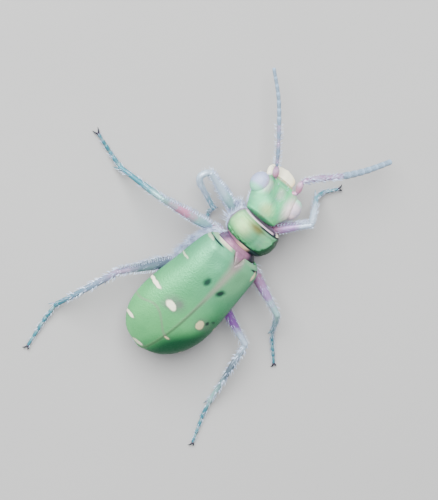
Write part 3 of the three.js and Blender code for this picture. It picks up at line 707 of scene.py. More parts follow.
def head_bands(finish, coords, colours):
    for centre, reach, strength, tint in HEAD_MARKS:
        finish.lay(finish.spot(coords, centre, reach, strength, 0.7), getattr(colours, tint))
    finish.lay(finish.span(finish.split(coords, 1), -2.32, -2.16, 0.6, 0.0), colours.peach)
    finish.lay(finish.span(finish.split(coords, 2), -0.5, -0.2, 0.9, 0.0), colours.copper)


def limb_finish(name, colours, stops, deep):
    """Metallic chitin whose tint changes along a limb through stops of (share, colour)."""
    finish = Finish(name)
    coords = finish.object_mm()
    fine = finish.noise(coords, 7.0, 2.0)
    along = finish.plus(finish.share(), finish.span(finish.noise(coords, 2.0), 0.3, 0.7, -0.08, 0.08))
    stops = [(share, getattr(colours, tint)) for share, tint in stops]
    finish.color = tone(stops[0][1])
    for (start, _), (end, tint) in zip(stops, stops[1:]):
        finish.lay(finish.span(along, start, end), tint)
    finish.lay(finish.span(fine, 0.5, 0.8, 0.0, 0.2), getattr(colours, deep))
    finish.bumps((finish.cells(coords, 16.0), 0.3, 0.02), (fine, 0.25, 0.03))
    return finish.done(finish.span(fine, 0.3, 0.7, 0.38, 0.52), 0.3, coat=(0.05, 0.3))


def downy_finish(name, main, pale):
    """Matt grey-blue down of the outer feeler, with a dark ring at each joint."""
    finish = Finish(name)
    down = finish.noise(finish.object_mm(), 22.0, 3.0, 0.7)
    along = finish.share()
    finish.color = finish.mix(finish.span(down, 0.35, 0.62), main, pale)
    finish.lay(finish.span(along, 0.55, 0.85, 0.0, 0.7), pale, 1.35)
    finish.lay(finish.span(along, 0.1, 0.2, 0.85, 0.0), main, 0.3)
    finish.bumps((down, 0.6, 0.03))
    return finish.done(finish.span(down, 0.3, 0.7, 0.6, 0.8), sheen=(0.3, 0.5))


def ivory_finish(name, cream, tip, low, high, glow=None):
    """Cream horn that darkens toward its tip between two shares; glow tints its right side."""
    finish = Finish(name)
    coords = finish.object_mm()
    cloud = finish.noise(coords, 4.0)
    along = finish.plus(finish.share(), finish.times(finish.calc("SUBTRACT", cloud, 0.5), 0.2))
    finish.color = finish.mix(finish.span(along, low, high), cream, tip)
    finish.lay(finish.span(cloud, 0.5, 0.75, 0.0, 0.3), cream, 0.8)
    if glow:
        finish.lay(finish.span(finish.split(finish.place(), 0), -0.75, -0.2, 0.75, 0.0), glow)
    finish.bumps((finish.noise(coords, 14.0), 0.25, 0.03))
    return finish.done(finish.span(cloud, 0.3, 0.7, 0.3, 0.42), coat=(0.2, 0.25))


def eye_finish(colours):
    """Pale lavender facets, rosier on the right eye, that fade to the head's mint."""
    finish = Finish("faceted eye")
    lay, span, times = finish.lay, finish.span, finish.times
    coords = finish.place()
    x, y, _ = finish.axes(finish.mirrored(coords))
    left = span(finish.split(coords, 0), -0.2, 0.2)
    facets = finish.cells(coords, 26.0)
    cloud = finish.noise(coords, 1.8, 2.0)
    finish.color = finish.mix(left, colours.eye_warm, colours.eye)
    lay(span(cloud, 0.35, 0.65, 0.0, 0.5), colours.eye_shade)
    lay(span(x, 0.95, 1.45, 0.85, 0.0), colours.frost_pink)
    lay(times(span(y, -1.3, -0.95, 0.0, 0.8), left), colours.mint_white)
    lay(times(span(y, -1.95, -1.55, 0.7, 0.0), finish.calc("SUBTRACT", 1.0, left)), colours.mint_white)
    lay(span(facets, 0.25, 0.6, 0.0, 0.25), colours.eye_shade, 0.7)
    finish.bumps((facets, 0.6, 0.03))
    return finish.done(span(cloud, 0.3, 0.7, 0.34, 0.46), coat=(0.15, 0.3))


def hair_finish(colours):
    finish = Finish("white hair")
    cloud = finish.noise(finish.object_mm(), 3.0, 2.0)
    finish.color = finish.mix(finish.span(cloud, 0.35, 0.65), colours.hair, colours.hair_shade)
    return finish.done(finish.span(cloud, 0.3, 0.7, 0.38, 0.5), sheen=(0.3, 0.4))


def floor_finish(tint):
    finish = Finish("pale floor")
    coords = finish.object_mm()
    fine = finish.noise(coords, 1.2)
    finish.color = tone(tint)
    finish.lay(finish.span(finish.noise(coords, 0.05), 0.3, 0.7), tint, 0.97)
    finish.bumps((fine, 0.1, 0.05))
    return finish.done(finish.span(fine, 0.3, 0.7, 0.7, 0.8))


def colour(name, description, value):
    return FloatVectorProperty(
        name=name, description=description, default=value, subtype="COLOR", size=3, min=0.0, max=1.0
    )


def length(name, description, value, least):
    return FloatProperty(name=name, description=description, default=value, min=least, unit="LENGTH")


def power_of_light(name, description, value):
    return FloatProperty(name=name, description=description, default=value, min=0.0, unit="POWER")


class BeetleColours(bpy.types.PropertyGroup):
    """Colours of the beetle, as linear light."""

    wing_front: colour("Wing cover, front", "Mint green of the wing covers' front", (0.1, 0.4, 0.22))
    wing_rear: colour("Wing cover, rear", "Yellower green of the wing covers' rear", (0.14, 0.6, 0.21))
    # Also painted shade, on the left cover's dome.
    wing_deep: colour("Wing cover, deep", "Deeper green clouds of the shell", (0.04, 0.3, 0.11))
    pit: colour("Pits", "Blue-green of the shell's fine pits", (0.02, 0.14, 0.1))
    margin: colour("Margin", "Blue-green of the wing covers' outer edge", (0.14, 0.34, 0.34))
    # Painted light: the lighter green of the right cover's front.
    wing_light: colour("Wing cover, light", "Light green of the right cover's front", (0.2, 0.5, 0.24))
    # Painted shade: the darkest green, laid on the right cover, in the seam's crease and on the neck shield's
    # right rear.
    wing_shade: colour("Wing cover, shaded", "Darkest green of the right cover's rear", (0.006, 0.1, 0.04))
    suture: colour("Seam", "Pinkish tan along the front of the seam", (0.4, 0.38, 0.32))
    suture_rear: colour("Seam, rear", "Light green along the rear of the seam", (0.24, 0.46, 0.22))
    blush: colour("Blush", "Lavender pink of hips and feeler roots", (0.62, 0.4, 0.56))
    orchid: colour("Orchid", "Orchid pink of the collar and right thighs", (0.32, 0.15, 0.25))
    frost_pink: colour("Pale pink", "Pinkish white of the neck shield's front and brow", (0.66, 0.5, 0.6))
    # On the head's left rear, this mint is partly a painted highlight.
    mint_white: colour("Mint white", "Palest mint of the head", (0.22, 0.9, 0.46))
    mint_strong: colour("Strong mint", "Strong mint at the back of the head", (0.08, 0.58, 0.26))
    lip_glow: colour("Lip, warm", "Yellower cream of the lip's right side", (0.92, 0.76, 0.4))
    # Painted shade: the cream of the spots on the shaded right cover.
    cream_shade: colour("Cream, shaded", "Peachy cream of the right cover's spots", (0.6, 0.52, 0.3))
    eye_warm: colour("Eye, rosy", "Rosy white of the right eye", (0.82, 0.66, 0.68))
    mauve: colour("Mauve", "Greyish mauve of the inner feelers and left hind knee", (0.36, 0.29, 0.44))
    lilac: colour("Lilac", "Lilac of the right thighs", (0.32, 0.2, 0.42))
    violet: colour("Violet", "Violet of the right hind thigh", (0.2, 0.07, 0.32))
    ice: colour("Ice", "Bluish white of knees and shins", (0.42, 0.54, 0.66))
    peach: colour("Peach", "Peach tint of the brow and neck shield's rear", (0.72, 0.5, 0.34))
    butter: colour("Butter", "Pale yellow tint of the neck shield and head", (0.52, 0.62, 0.28))
    # Cream is also the painted highlight on the left cover's front rim.
    cream: colour("Cream", "Cream of the spots, lip and jaws", (0.95, 0.92, 0.7))
    halo: colour("Halo", "Purplish ring round the spots", (0.2, 0.19, 0.2))
    # Also painted shade: the wing covers' shoulder slits, the gap at the thorax's right front, and the neck
    # shield's front line, strip gap, rear groove and right rear rim.
    dark: colour("Dark marks", "Blue-black small marks", (0.008, 0.016, 0.026))
    olive: colour("Olive mark", "Olive brown mark of the neck shield", (0.16, 0.13, 0.035))
    neck_shield: colour("Neck shield", "Yellowish green of the neck shield", (0.2, 0.42, 0.26))
    head: colour("Head", "Mint of the head", (0.1, 0.62, 0.26))
    copper: colour("Copper", "Violet copper of hips and underside", (0.3, 0.17, 0.32))
    copper_deep: colour("Copper, deep", "Darker copper of the underside", (0.09, 0.055, 0.1))
    rose: colour("Rose", "Rosy copper of the left middle thigh and feeler roots", (0.56, 0.22, 0.36))
    frost: colour("Frost", "Pale blue-green of the knees", (0.26, 0.46, 0.46))
    teal: colour("Teal", "Green-blue of the shins and feet", (0.04, 0.2, 0.26))
    teal_pale: colour("Teal, pale", "Paler blue of the shins", (0.12, 0.34, 0.42))
    # On the left hind leg, slate is painted shade.
    slate: colour("Slate", "Grey-blue of the outer feelers and hind legs", (0.1, 0.15, 0.2))
    slate_pale: colour("Slate, pale", "Pale down of the outer feelers", (0.2, 0.3, 0.42))
    eye: colour("Eye", "Pale lavender of the eyes", (0.42, 0.5, 0.76))
    eye_shade: colour("Eye, shade", "Shade of the eyes", (0.26, 0.3, 0.46))
    hair: colour("Hair", "White of the hairs", (0.62, 0.74, 0.9))
    hair_shade: colour("Hair, shade", "Lavender shade of the hairs", (0.34, 0.4, 0.58))


class BeetleSizes(bpy.types.PropertyGroup):
    """Sizes that finish the pieces."""

    wing_wall: length("Wing cover wall", "Thickness of the wing covers", 0.00014, 0.00005)
    hair_length: length("Hair length", "Length of the longest side hairs", 0.0008, 0.0002)
    hair_width: length("Hair width", "Thickness of a hair at its root", 0.000034, 0.00001)
    hair_count: FloatProperty(
        name="Hair count", description="Share of the full number of hairs", default=1.0, min=0.1, max=2.0
    )


class BeetleStage(bpy.types.PropertyGroup):
    """Floor, light and the seed of the hairs."""

    floor_size: length("Floor size", "Side of the square floor", 1.6, 0.2)
    floor_colour: colour("Floor colour", "Colour of the plain floor", (0.46, 0.46, 0.455))
    key_power: power_of_light("Key light", "Power of the key light", 5.6)
    fill_power: power_of_light("Fill light", "Power of the fill light", 0.3)
    sky: FloatProperty(name="Sky", description="Strength of the pale surroundings", default=0.36, min=0.0)
    seed: IntProperty(name="Seed", description="Seed of the hairs' small variations", default=7, min=0)


def wing_point(side):
    """point_at for a wing cover, from its seam over the dome to the rim under it."""
    at = reader(WING_STATIONS)

    def point_at(u, v):
        y = WING_FRONT + (WING_REAR - WING_FRONT) * (0.5 - 0.5 * math.cos(math.pi * u))
        front = ease(y, WING_FRONT, WING_FRONT + 0.22)
        turn = math.pi / 2 * (1.0 - min(1.0, v / WING_RIM_SHARE))
        from_seam = at(WING_FRONT)[0] * power(math.cos(turn), WING_SQUARENESS)
        notch = WING_NOTCH["depth"] * max(0.0, 1.0 - from_seam / WING_NOTCH["width"])
        y += notch * (1.0 - ease(y, WING_FRONT, WING_FRONT + WING_NOTCH["reach"]))
        half, height = at(min(y, WING_STATIONS[-1][0]))
        past = clamp((y - (WING_REAR - WING_TIP_ROUNDING)) / WING_TIP_ROUNDING)
        rounding = math.sqrt(max(0.0, 1.0 - past * past))
        height = height * (0.35 + 0.65 * rounding) * (0.86 + 0.14 * front)
        x = WING_SEAM + max(0.0, half * rounding - WING_SEAM) * power(math.cos(turn), WING_SQUARENESS)
        z = height * power(math.sin(turn), WING_SQUARENESS)
        # The raised seam, the shoulder, two dents and the groove behind the front edge.
        z += 0.012 * bell(x, 0.0, 0.12) * ease(y, 4.0, 6.0)
        z += 0.07 * bell(x, 1.62, 0.28) * bell(y, 0.85, 0.4)
        z -= 0.05 * bell(x, 1.0, 0.4) * bell(y, 1.5, 0.5) + 0.03 * bell(x, 0.58, 0.2) * bell(y, 2.57, 0.24)
        z -= 0.05 * bell(y, 0.53, 0.05) * ease(x, 1.1, 1.3) * (1 - ease(x, 1.85, 2.0))
        # The rim turned under.
        fold = math.pi * 0.62 * max(0.0, (v - WING_RIM_SHARE) / (1.0 - WING_RIM_SHARE))
        x -= WING_RIM_DEPTH * (1 - math.cos(fold)) * 0.6 * rounding
        z -= WING_RIM_DEPTH * math.sin(fold) * 0.45 * rounding
        return (side * max(x, WING_SEAM), y, z)

    return point_at


class BEETLE_OT_wing_covers(bpy.types.Operator):
    """Build the two domed wing covers with their turned-under rims"""

    bl_idname = "beetle.wing_covers"
    bl_label = "Wing Covers"

    def execute(self, context):
        green = wing_finish(context.scene.beetle_colours)
        for side, sign in SIDES.items():
            shape = Shape().surface(120, 56, wing_point(sign), BODY)
            bm = shape.bm
            bmesh.ops.recalc_face_normals(bm, faces=bm.faces[:])
            top = max(bm.faces, key=lambda face: face.calc_center_median().z)
            if top.normal.z < 0:
                bmesh.ops.reverse_faces(bm, faces=bm.faces[:])
            for edge in bm.edges:
                edge.smooth = not edge.is_boundary
            nodes = [f"elytron_{side}"]
            piece = shape.finish(f"wing_cover_{side}", "wing_cover", nodes, [green], closed=False)
            wall = piece.modifiers.new("Wall", "SOLIDIFY")
            wall.thickness = context.scene.beetle_sizes.wing_wall
            wall.offset = -1.0
        return {"FINISHED"}


def pronotum_relief(y, turn):
    back = ease(math.sin(turn), 0.0, 0.5)
    groove = sum(bell(y, place, width) for place, width in PRONOTUM_GROOVES)
    across = math.cos(turn)
    middle = bell(across, 0.0, 0.045) * ease(y, -1.6, -1.3) * (1 - ease(y, -0.5, -0.25))
    edge = bell(math.sin(turn), 0.12, 0.12) * 0.03
    swelling = 0.035 * bell(abs(across), 0.5, 0.25) * bell(y, -0.87, 0.4)
    return back * (swelling - 0.075 * groove - 0.035 * middle) + edge


class BEETLE_OT_pronotum(bpy.types.Operator):
    """Build the neck shield with its two cross grooves and raised edges"""

    bl_idname = "beetle.pronotum"
    bl_label = "Neck Shield"

    def execute(self, context):
        colours = context.scene.beetle_colours
        tints = ("neck_shield", "wing_rear", "butter")
        finish = shell_finish("neck shield green", colours, tints, (0.5, 3.4, 1.0), bands=pronotum_bands)
        shape = Shape().surface(110, 120, pronotum_surface(), BODY)
        shape.finish("neck_shield", "pronotum", ["pronotum"], [finish])
        return {"FINISHED"}


def pronotum_surface():
    """The neck shield's barrel, its rear corners drawn forward."""
    plain = hull(PRONOTUM_STATIONS, cap=0.1, bulges=(0.02, 0.05), relief=pronotum_relief)

    def point_at(u, v):
        x, y, z = plain(u, v)
        return (x, y - 0.1 * x * x * ease(y, -0.9, -0.1), z)

    return point_at


def thorax_relief(y, turn):
    low = 1 - ease(math.sin(turn), -0.3, 0.3)
    side = bell(math.sin(turn), -0.1, 0.5)
    seams = bell(y, 0.55, 0.06) + bell(y, 1.5, 0.06) + bell(y, 2.35, 0.06)
    keel = bell(math.cos(turn), 0.0, 0.06) * 0.04
    return -0.035 * seams * max(low, side) - keel * low


def thorax_surface():
    return hull(THORAX_STATIONS, cap=0.05, bulges=(0.05, 0.02), relief=thorax_relief)


class BEETLE_OT_thorax(bpy.types.Operator):
    """Build the hind thorax and the small triangle between the wing covers"""

    bl_idname = "beetle.thorax"
    bl_label = "Thorax"

    def execute(self, context):
        colours = context.scene.beetle_colours
        tints = ("copper", "copper_deep", "teal")
        finish = shell_finish("thorax copper", colours, tints, (1.0, 2.0, 1.0), 0.4, thorax_bands)
        shape = Shape().surface(110, 96, thorax_surface(), BODY)
        shape.surface(40, 40, hull(SCUTELLUM_STATIONS, squareness=0.6, cap=0.12, bulges=(0.04, 0.04)), BODY)
        shape.finish("hind_thorax", "thorax", ["thorax"], [finish])
        return {"FINISHED"}


def abdomen_relief(y, turn):
    first, last = ABDOMEN_STATIONS[0][0], ABDOMEN_STATIONS[-1][0]
    share = clamp((y - first) / (last - first)) * ABDOMEN_PLATES % 1.0
    return 0.05 * (share**2 - 0.4) * (1.0 - ease(share, 0.93, 1.0))


def abdomen_surface():
    return hull(ABDOMEN_STATIONS, cap=0.05, bulges=(0.02, 0.12), relief=abdomen_relief)


class BEETLE_OT_abdomen(bpy.types.Operator):
    """Build the ringed abdomen under the wing covers"""

    bl_idname = "beetle.abdomen"
    bl_label = "Abdomen"

    def execute(self, context):
        colours = context.scene.beetle_colours
        tints = ("teal", "copper_deep", "copper")
        finish = shell_finish("abdomen metal", colours, tints, (1.0, 2.2, 1.0), 0.5)
        shape = Shape().surface(150, 84, abdomen_surface(), BODY)
        shape.finish("ringed_abdomen", "abdomen", ["abdomen"], [finish])
        return {"FINISHED"}


def head_surface():
    """The head's shell, drawn up round each eye so that eye and brow run into one another."""
    plain = hull(HEAD_STATIONS, squareness=0.9, cap=0.13, bulges=(0.1, 0.16))

    def point_at(u, v):
        x, y, z = plain(u, v)
        offsets = zip((abs(x), y, z), EYE["place"], EYE["radii"])
        reach = math.sqrt(sum(((here - centre) / radius) ** 2 for here, centre, radius in offsets))
        socket = bell(max(reach, 1.0), 1.0, 0.62)
        x += math.copysign(0.13 * socket * ease(z, -0.35, 0.1), x)
        above = ease(z, 0.0, 0.25)
        x -= 0.2 * bell(y, -2.16, 0.28) * above * ease(-x, 0.3, 0.9)
        z += above * 0.2 * socket
        z -= above * 0.07 * bell(x, 0.0, 0.42) * bell(y, -1.25, 0.5)
        z -= above * 0.05 * bell(y, -1.98, 0.07) * (1 - ease(abs(x), 0.4, 0.7))
        z += above * 0.03 * bell(x, 0.0, 0.1) * bell(y, -1.75, 0.2)
        return (x, y, z)

    return point_at


class BEETLE_OT_head(bpy.types.Operator):
    """Build the head shell with its brow ridges"""

    bl_idname = "beetle.head"
    bl_label = "Head"

    def execute(self, context):
        colours = context.scene.beetle_colours
        tints = ("head", "wing_front", "butter")
        finish = shell_finish("head green", colours, tints, (3.2, 0.6, 1.0), bands=head_bands)
        shape = Shape().surface(110, 120, head_surface(), HEAD)
        shape.finish("head_shell", "head", ["head"], [finish])
        return {"FINISHED"}


class BEETLE_OT_eyes(bpy.types.Operator):
    """Build the two bulging faceted eyes"""

    bl_idname = "beetle.eyes"
    bl_label = "Eyes"

    def execute(self, context):
        finish = eye_finish(context.scene.beetle_colours)
        for side, sign in SIDES.items():
            x, y, z = EYE["place"]
            shape = Shape()
            globe = Matrix.Translation((sign * x, y, z)) @ Matrix.Diagonal((*EYE["radii"], 1.0))
            bmesh.ops.create_icosphere(shape.bm, subdivisions=5, radius=1.0, matrix=HEAD @ globe)
            to_head = HEAD.inverted()
            for vert in shape.bm.verts:
                vert[shape.place] = to_head @ vert.co
            for face in shape.bm.faces:
                face.smooth = True
            shape.finish(f"eye_globe_{side}", "eye", [f"eye_{side}"], [finish])
        return {"FINISHED"}


def mandible_path(sign):
    x, y, z = MANDIBLE["x"], MANDIBLE["y"], MANDIBLE["z"]
    reach, bow = MANDIBLE["reach"], MANDIBLE["bow"]
    return [
        (sign * x, y + 0.2, z),
        (sign * (x + bow * 0.7), y - reach * 0.3, z - 0.04),
        (sign * (x + bow * 0.4), y - reach * 0.7, z - 0.08),
        (sign * (x - bow * 0.5), y - reach * 0.95, z - 0.1),
        (sign * 0.09, y - reach * 0.97, z - 0.1 - 0.04 * sign),
    ]


def palp_path(sign, kind):
    palp = PALPS[kind]
    x, y, z, reach = palp["x"], palp["y"], palp["z"], palp["reach"]
    return [
        (sign * x, y + 0.15, z),
        (sign * (x + reach * 0.12), y - reach * 0.4, z - reach * 0.12),
        (sign * (x + reach * 0.06), y - reach * 0.95, z - reach * 0.3),
    ]


class BEETLE_OT_mouth(bpy.types.Operator):
    """Build the upper lip, the sickle jaws and the jointed mouth feelers"""

    bl_idname = "beetle.mouth"
    bl_label = "Mouth Parts"

    def execute(self, context):
        colours = context.scene.beetle_colours
        lip = ivory_finish("cream lip", colours.cream, colours.dark, 2.0, 3.0, colours.lip_glow)
        jaw = ivory_finish("cream jaw", colours.cream, colours.copper_deep, 0.8, 1.0)
        palp = ivory_finish("palp", colours.cream, colours.teal, 0.8, 1.0)

        def keel(y, turn):
            return 0.2 * bell(math.cos(turn), 0.0, 0.12) * ease(math.sin(turn), 0.0, 0.4)

        lip_surface = hull(LABRUM_STATIONS, 0.75, 0.08, (0.03, 0.03), keel, middle=LABRUM_SHIFT)
        Shape().surface(50, 60, lip_surface, HEAD).finish("upper_lip", "ivory", ["labrum"], [lip])
        for side, sign in SIDES.items():
            path, root = mandible_path(sign), MANDIBLE["root"]
            shape = Shape()
            radii = [root, root * 0.8, root * 0.55, root * 0.32, 0.03]
            shape.surface(60, 28, tube(path, radii, (1.0, 0.8)), HEAD)
            for share, size in JAW_TEETH:
                start = Vector(evenly(path)(share))
                tip = start + Vector((-sign * size * 1.25, -size * 0.2, 0.0))
                tooth = tube(straight(start, tip), [size * 0.34, size * 0.22, 0.012], (1.0, 0.8))
                shape.surface(14, 14, tooth, HEAD)
            shape.finish(f"jaw_{side}", "ivory", [f"mandible_{side}"], [jaw])
            for kind, palp_sizes in PALPS.items():
                course = evenly(palp_path(sign, kind))
                radii = [palp_sizes["radius"] * swell for swell in (0.7, 0.9, 1.05, 0.85)]
                shape = Shape()
                for start, end in ((0.0, 0.36), (0.34, 0.7), (0.68, 1.0)):
                    shape.surface(20, 20, tube(sampled(course, start, end), radii, cap=0.14), HEAD)
                shape.finish(f"{kind}_feeler_{side}", "ivory", [f"{kind}_palp_{side}"], [palp])
        return {"FINISHED"}


def antenna_path(side):
    """The course of one feeler in the part's millimetres, from its root in the head."""
    knot = PART.inverted() @ (HEAD @ Vector(ANTENNA_ROOTS[side]))
    rows = [(0.0, *knot)]
    for share, heading, rise in ANTENNA_POSE[side]:
        knot = knot + direction(heading, rise) * share * ANTENNA_LENGTH
        rows.append((rows[-1][0] + share, *knot))
    return reader(rows)


class BEETLE_OT_antennae(bpy.types.Operator):
    """Build the two feelers, each of eleven joints"""

    bl_idname = "beetle.antennae"
    bl_label = "Feelers"

    def execute(self, context):
        colours = context.scene.beetle_colours
        scape = limb_finish("feeler root rose", colours, zip((0.0, 0.3, 0.7, 0.95), SCAPE_TINTS), "copper")
        lash = downy_finish("feeler down", colours.slate, colours.slate_pale)
        for side in SIDES:
            name, tints = STEM_TINTS[side]
            stem = limb_finish(name, colours, zip((0.0, 0.15, 0.5, 0.95), tints), "copper_deep")
            course = antenna_path(side)
            for part, joints in ANTENNA_PARTS.items():
                shape = Shape()
                for start, end, neck, width in joints:
                    if part == "scape":
                        radii = [neck, width * 0.9, width, width * 0.9, neck]
                    else:
                        neck, width = neck * ANTENNA_GIRTH[side], width * ANTENNA_GIRTH[side]
                        radii = [neck, (neck + width) / 2, width * 0.97, width, width * 0.9]
                    shape.surface(24, 20, tube(sampled(course, start, end), radii), PART)
                if part == "scape":
                    x, y, z = ANTENNA_ROOTS[side]
                    socket = Vector((x * 0.7, y + 0.24, z - 0.2))
                    stalk = [socket, socket.lerp(Vector((x, y, z)), 0.6), (x, y, z)]
                    shape.surface(16, 20, tube(stalk, STALK_RADII), HEAD)
                slot = "feeler_lash" if part == "lash" else "feeler_base"
                finish = {"scape": scape, "stem": stem, "lash": lash}[part]
                shape.finish(f"feeler_{side}_{part}", slot, [f"antenna_{side}_{part}"], [finish])
        return {"FINISHED"}


def leg_label(pose):
    return f"leg_{pose['pair']}_{pose['side']}"


def step_to(start, length, heading, height):
    """The end of a limb that starts at a joint and ends at a height."""
    rise = height - start.z
    end = start + direction(heading) * math.sqrt(length * length - rise * rise)
    end.z = height
    return end


def leg_joints(pose):
    """Root, hip, knee, shin start, ankle and toe of a leg, in the part's millimetres."""
    pair, sign = pose["pair"], SIDES[pose["side"]]

    def placed(point):
        return TRUNK @ Vector((sign * point[0], point[1], point[2]))

    femur, tibia, tarsus = LEG_LENGTHS[pair]
    root, hip = placed(COXA_ROOTS[pair]), placed(HIPS[pair])
    knee = step_to(hip, femur, pose["femur"], pose["knee"])
    shin = knee + direction(pose["femur"] + 90) * (FOLD_OFFSET if is_folded(pose) else 0.0)
    ankle = step_to(shin, tibia, pose["tibia"], pose["ankle"])
    toe = step_to(ankle, tarsus, pose["tarsus"], TOE_HEIGHT)
    return {"root": root, "hip": hip, "knee": knee, "shin": shin, "ankle": ankle, "toe": toe}


def is_folded(pose):
    return pose["pair"] == "front" and pose["side"] == "left"


def bowed(start, end, bow, count=8):
    """A straight way between two joints, bowed upward in its middle."""
    shares = [i / count for i in range(count + 1)]
    return [tuple(start.lerp(end, share) + UP * bow * math.sin(math.pi * share)) for share in shares]


def tibia_path(pose, joints):
    if not is_folded(pose):
        return bowed(joints["knee"], joints["ankle"], 0.04)
    knee, shin, ankle = joints["knee"], joints["shin"], joints["ankle"]
    away = (knee - joints["hip"]).normalized() * 0.16
    turn = [knee, knee.lerp(shin, 0.3) + away, knee.lerp(shin, 0.75) + away]
    return [tuple(p) for p in turn] + [tuple(shin.lerp(ankle, 0.08 + 0.92 * i / 6)) for i in range(7)]


def tarsus_path(joints):
    ankle, toe = joints["ankle"], joints["toe"]
    touch = ankle.lerp(toe, 0.4)
    touch.z = TOE_HEIGHT
    flat = Vector((toe.x, toe.y, 0.15))
    return [tuple(point) for point in (ankle, ankle.lerp(touch, 0.6), touch, touch.lerp(flat, 0.5), flat)]


def thigh_surface(joints):
    return tube(bowed(joints["hip"], joints["knee"], 0.05), FEMUR_RADII, (0.92, 1.05), cap=0.05)


def shin_surface(pose, joints):
    return tube(tibia_path(pose, joints), TIBIA_RADII, cap=0.04)


class BEETLE_OT_legs(bpy.types.Operator):
    """Build the six legs: coxa, thigh, shin with its spurs, and five-jointed foot with two claws"""

    bl_idname = "beetle.legs"
    bl_label = "Legs"

    def execute(self, context):
        colours = context.scene.beetle_colours
        violet = limb_finish("hip violet", colours, [(0.0, "copper"), (0.8, "blush")], "copper_deep")
        foot_teal = limb_finish("foot teal", colours, [(0.0, "frost"), (0.7, "teal")], "copper_deep")
        claw = limb_finish("claw", colours, [(0.0, "copper_deep"), (0.6, "dark")], "dark")
        for pose in LEG_POSES:
            joints, label = leg_joints(pose), leg_label(pose)
            root, hip, knee = joints["root"], joints["hip"], joints["knee"]
            tints = LEG_TINTS[(pose["pair"], pose["side"])]
            thigh_tint = limb_finish(f"{label} thigh tint", colours, zip(THIGH_SHARES, tints), tints[0])
            shin_tint = limb_finish(f"{label} shin tint", colours, zip(SHIN_SHARES, tints[3:]), tints[-1])
            coxa = tube(straight(root, hip.lerp(root, 0.12)), COXA_RADII)
            Shape().surface(36, 28, coxa, PART).finish(f"{label}_hip", "thigh", [f"{label}_coxa"], [violet])
            thigh = Shape().surface(70, 32, thigh_surface(joints), PART)
            trochanter = [hip.lerp(root, 0.3), hip, hip.lerp(knee, 0.1)]
            thigh.surface(24, 24, tube(trochanter, TROCHANTER_RADII, cap=0.2), PART)
            thigh.finish(f"{label}_thigh", "thigh", [f"{label}_femur"], [thigh_tint])
            shin = Shape().surface(80, 28, shin_surface(pose, joints), PART)
            along = (joints["ankle"] - joints["shin"]).normalized()
            spread = along.cross(UP).normalized()
            for sign in (-1.0, 1.0):
                side = spread * sign * SPUR["side"]
                start = joints["ankle"] - along * SPUR["back"] + side
                tip = start + along * SPUR["reach"] + side - UP * SPUR["drop"]
                tip.z = max(tip.z, SPUR["lowest"])
                shin.surface(16, 10, tube(straight(start, tip), SPUR_RADII), PART)
            shin.finish(f"{label}_shin", "shin", [f"{label}_tibia"], [shin_tint])
            self.foot(label, pose, joints, [foot_teal, claw])
        return {"FINISHED"}

    def foot(self, label, pose, joints, materials):
        shape = Shape()
        path = tarsus_path(joints)
        share = 0.0
        for length, thin, wide in TARSUS_JOINTS:
            part = sampled(evenly(path), share, min(1.0, share + length + TARSUS_OVERLAP), 4)
            shape.surface(22, 20, tube(part, [thin, (thin + wide) / 2, wide, wide * 0.92]), PART)
            share += length
        toe = Vector(path[-1])
        out, up = CLAW["arch"]
        for splay in (-CLAW["splay"], CLAW["splay"]):
            way = direction(pose["tarsus"] + splay)
            tip = toe + way * CLAW["reach"]
            tip.z = CLAW["tip"]
            path = [toe - way * CLAW["back"], toe + way * out + UP * up, tip]
            shape.surface(20, 12, tube(path, CLAW_RADII), PART, 1)
        shape.finish(f"{label}_foot", "shin", [f"{label}_tarsus"], materials)


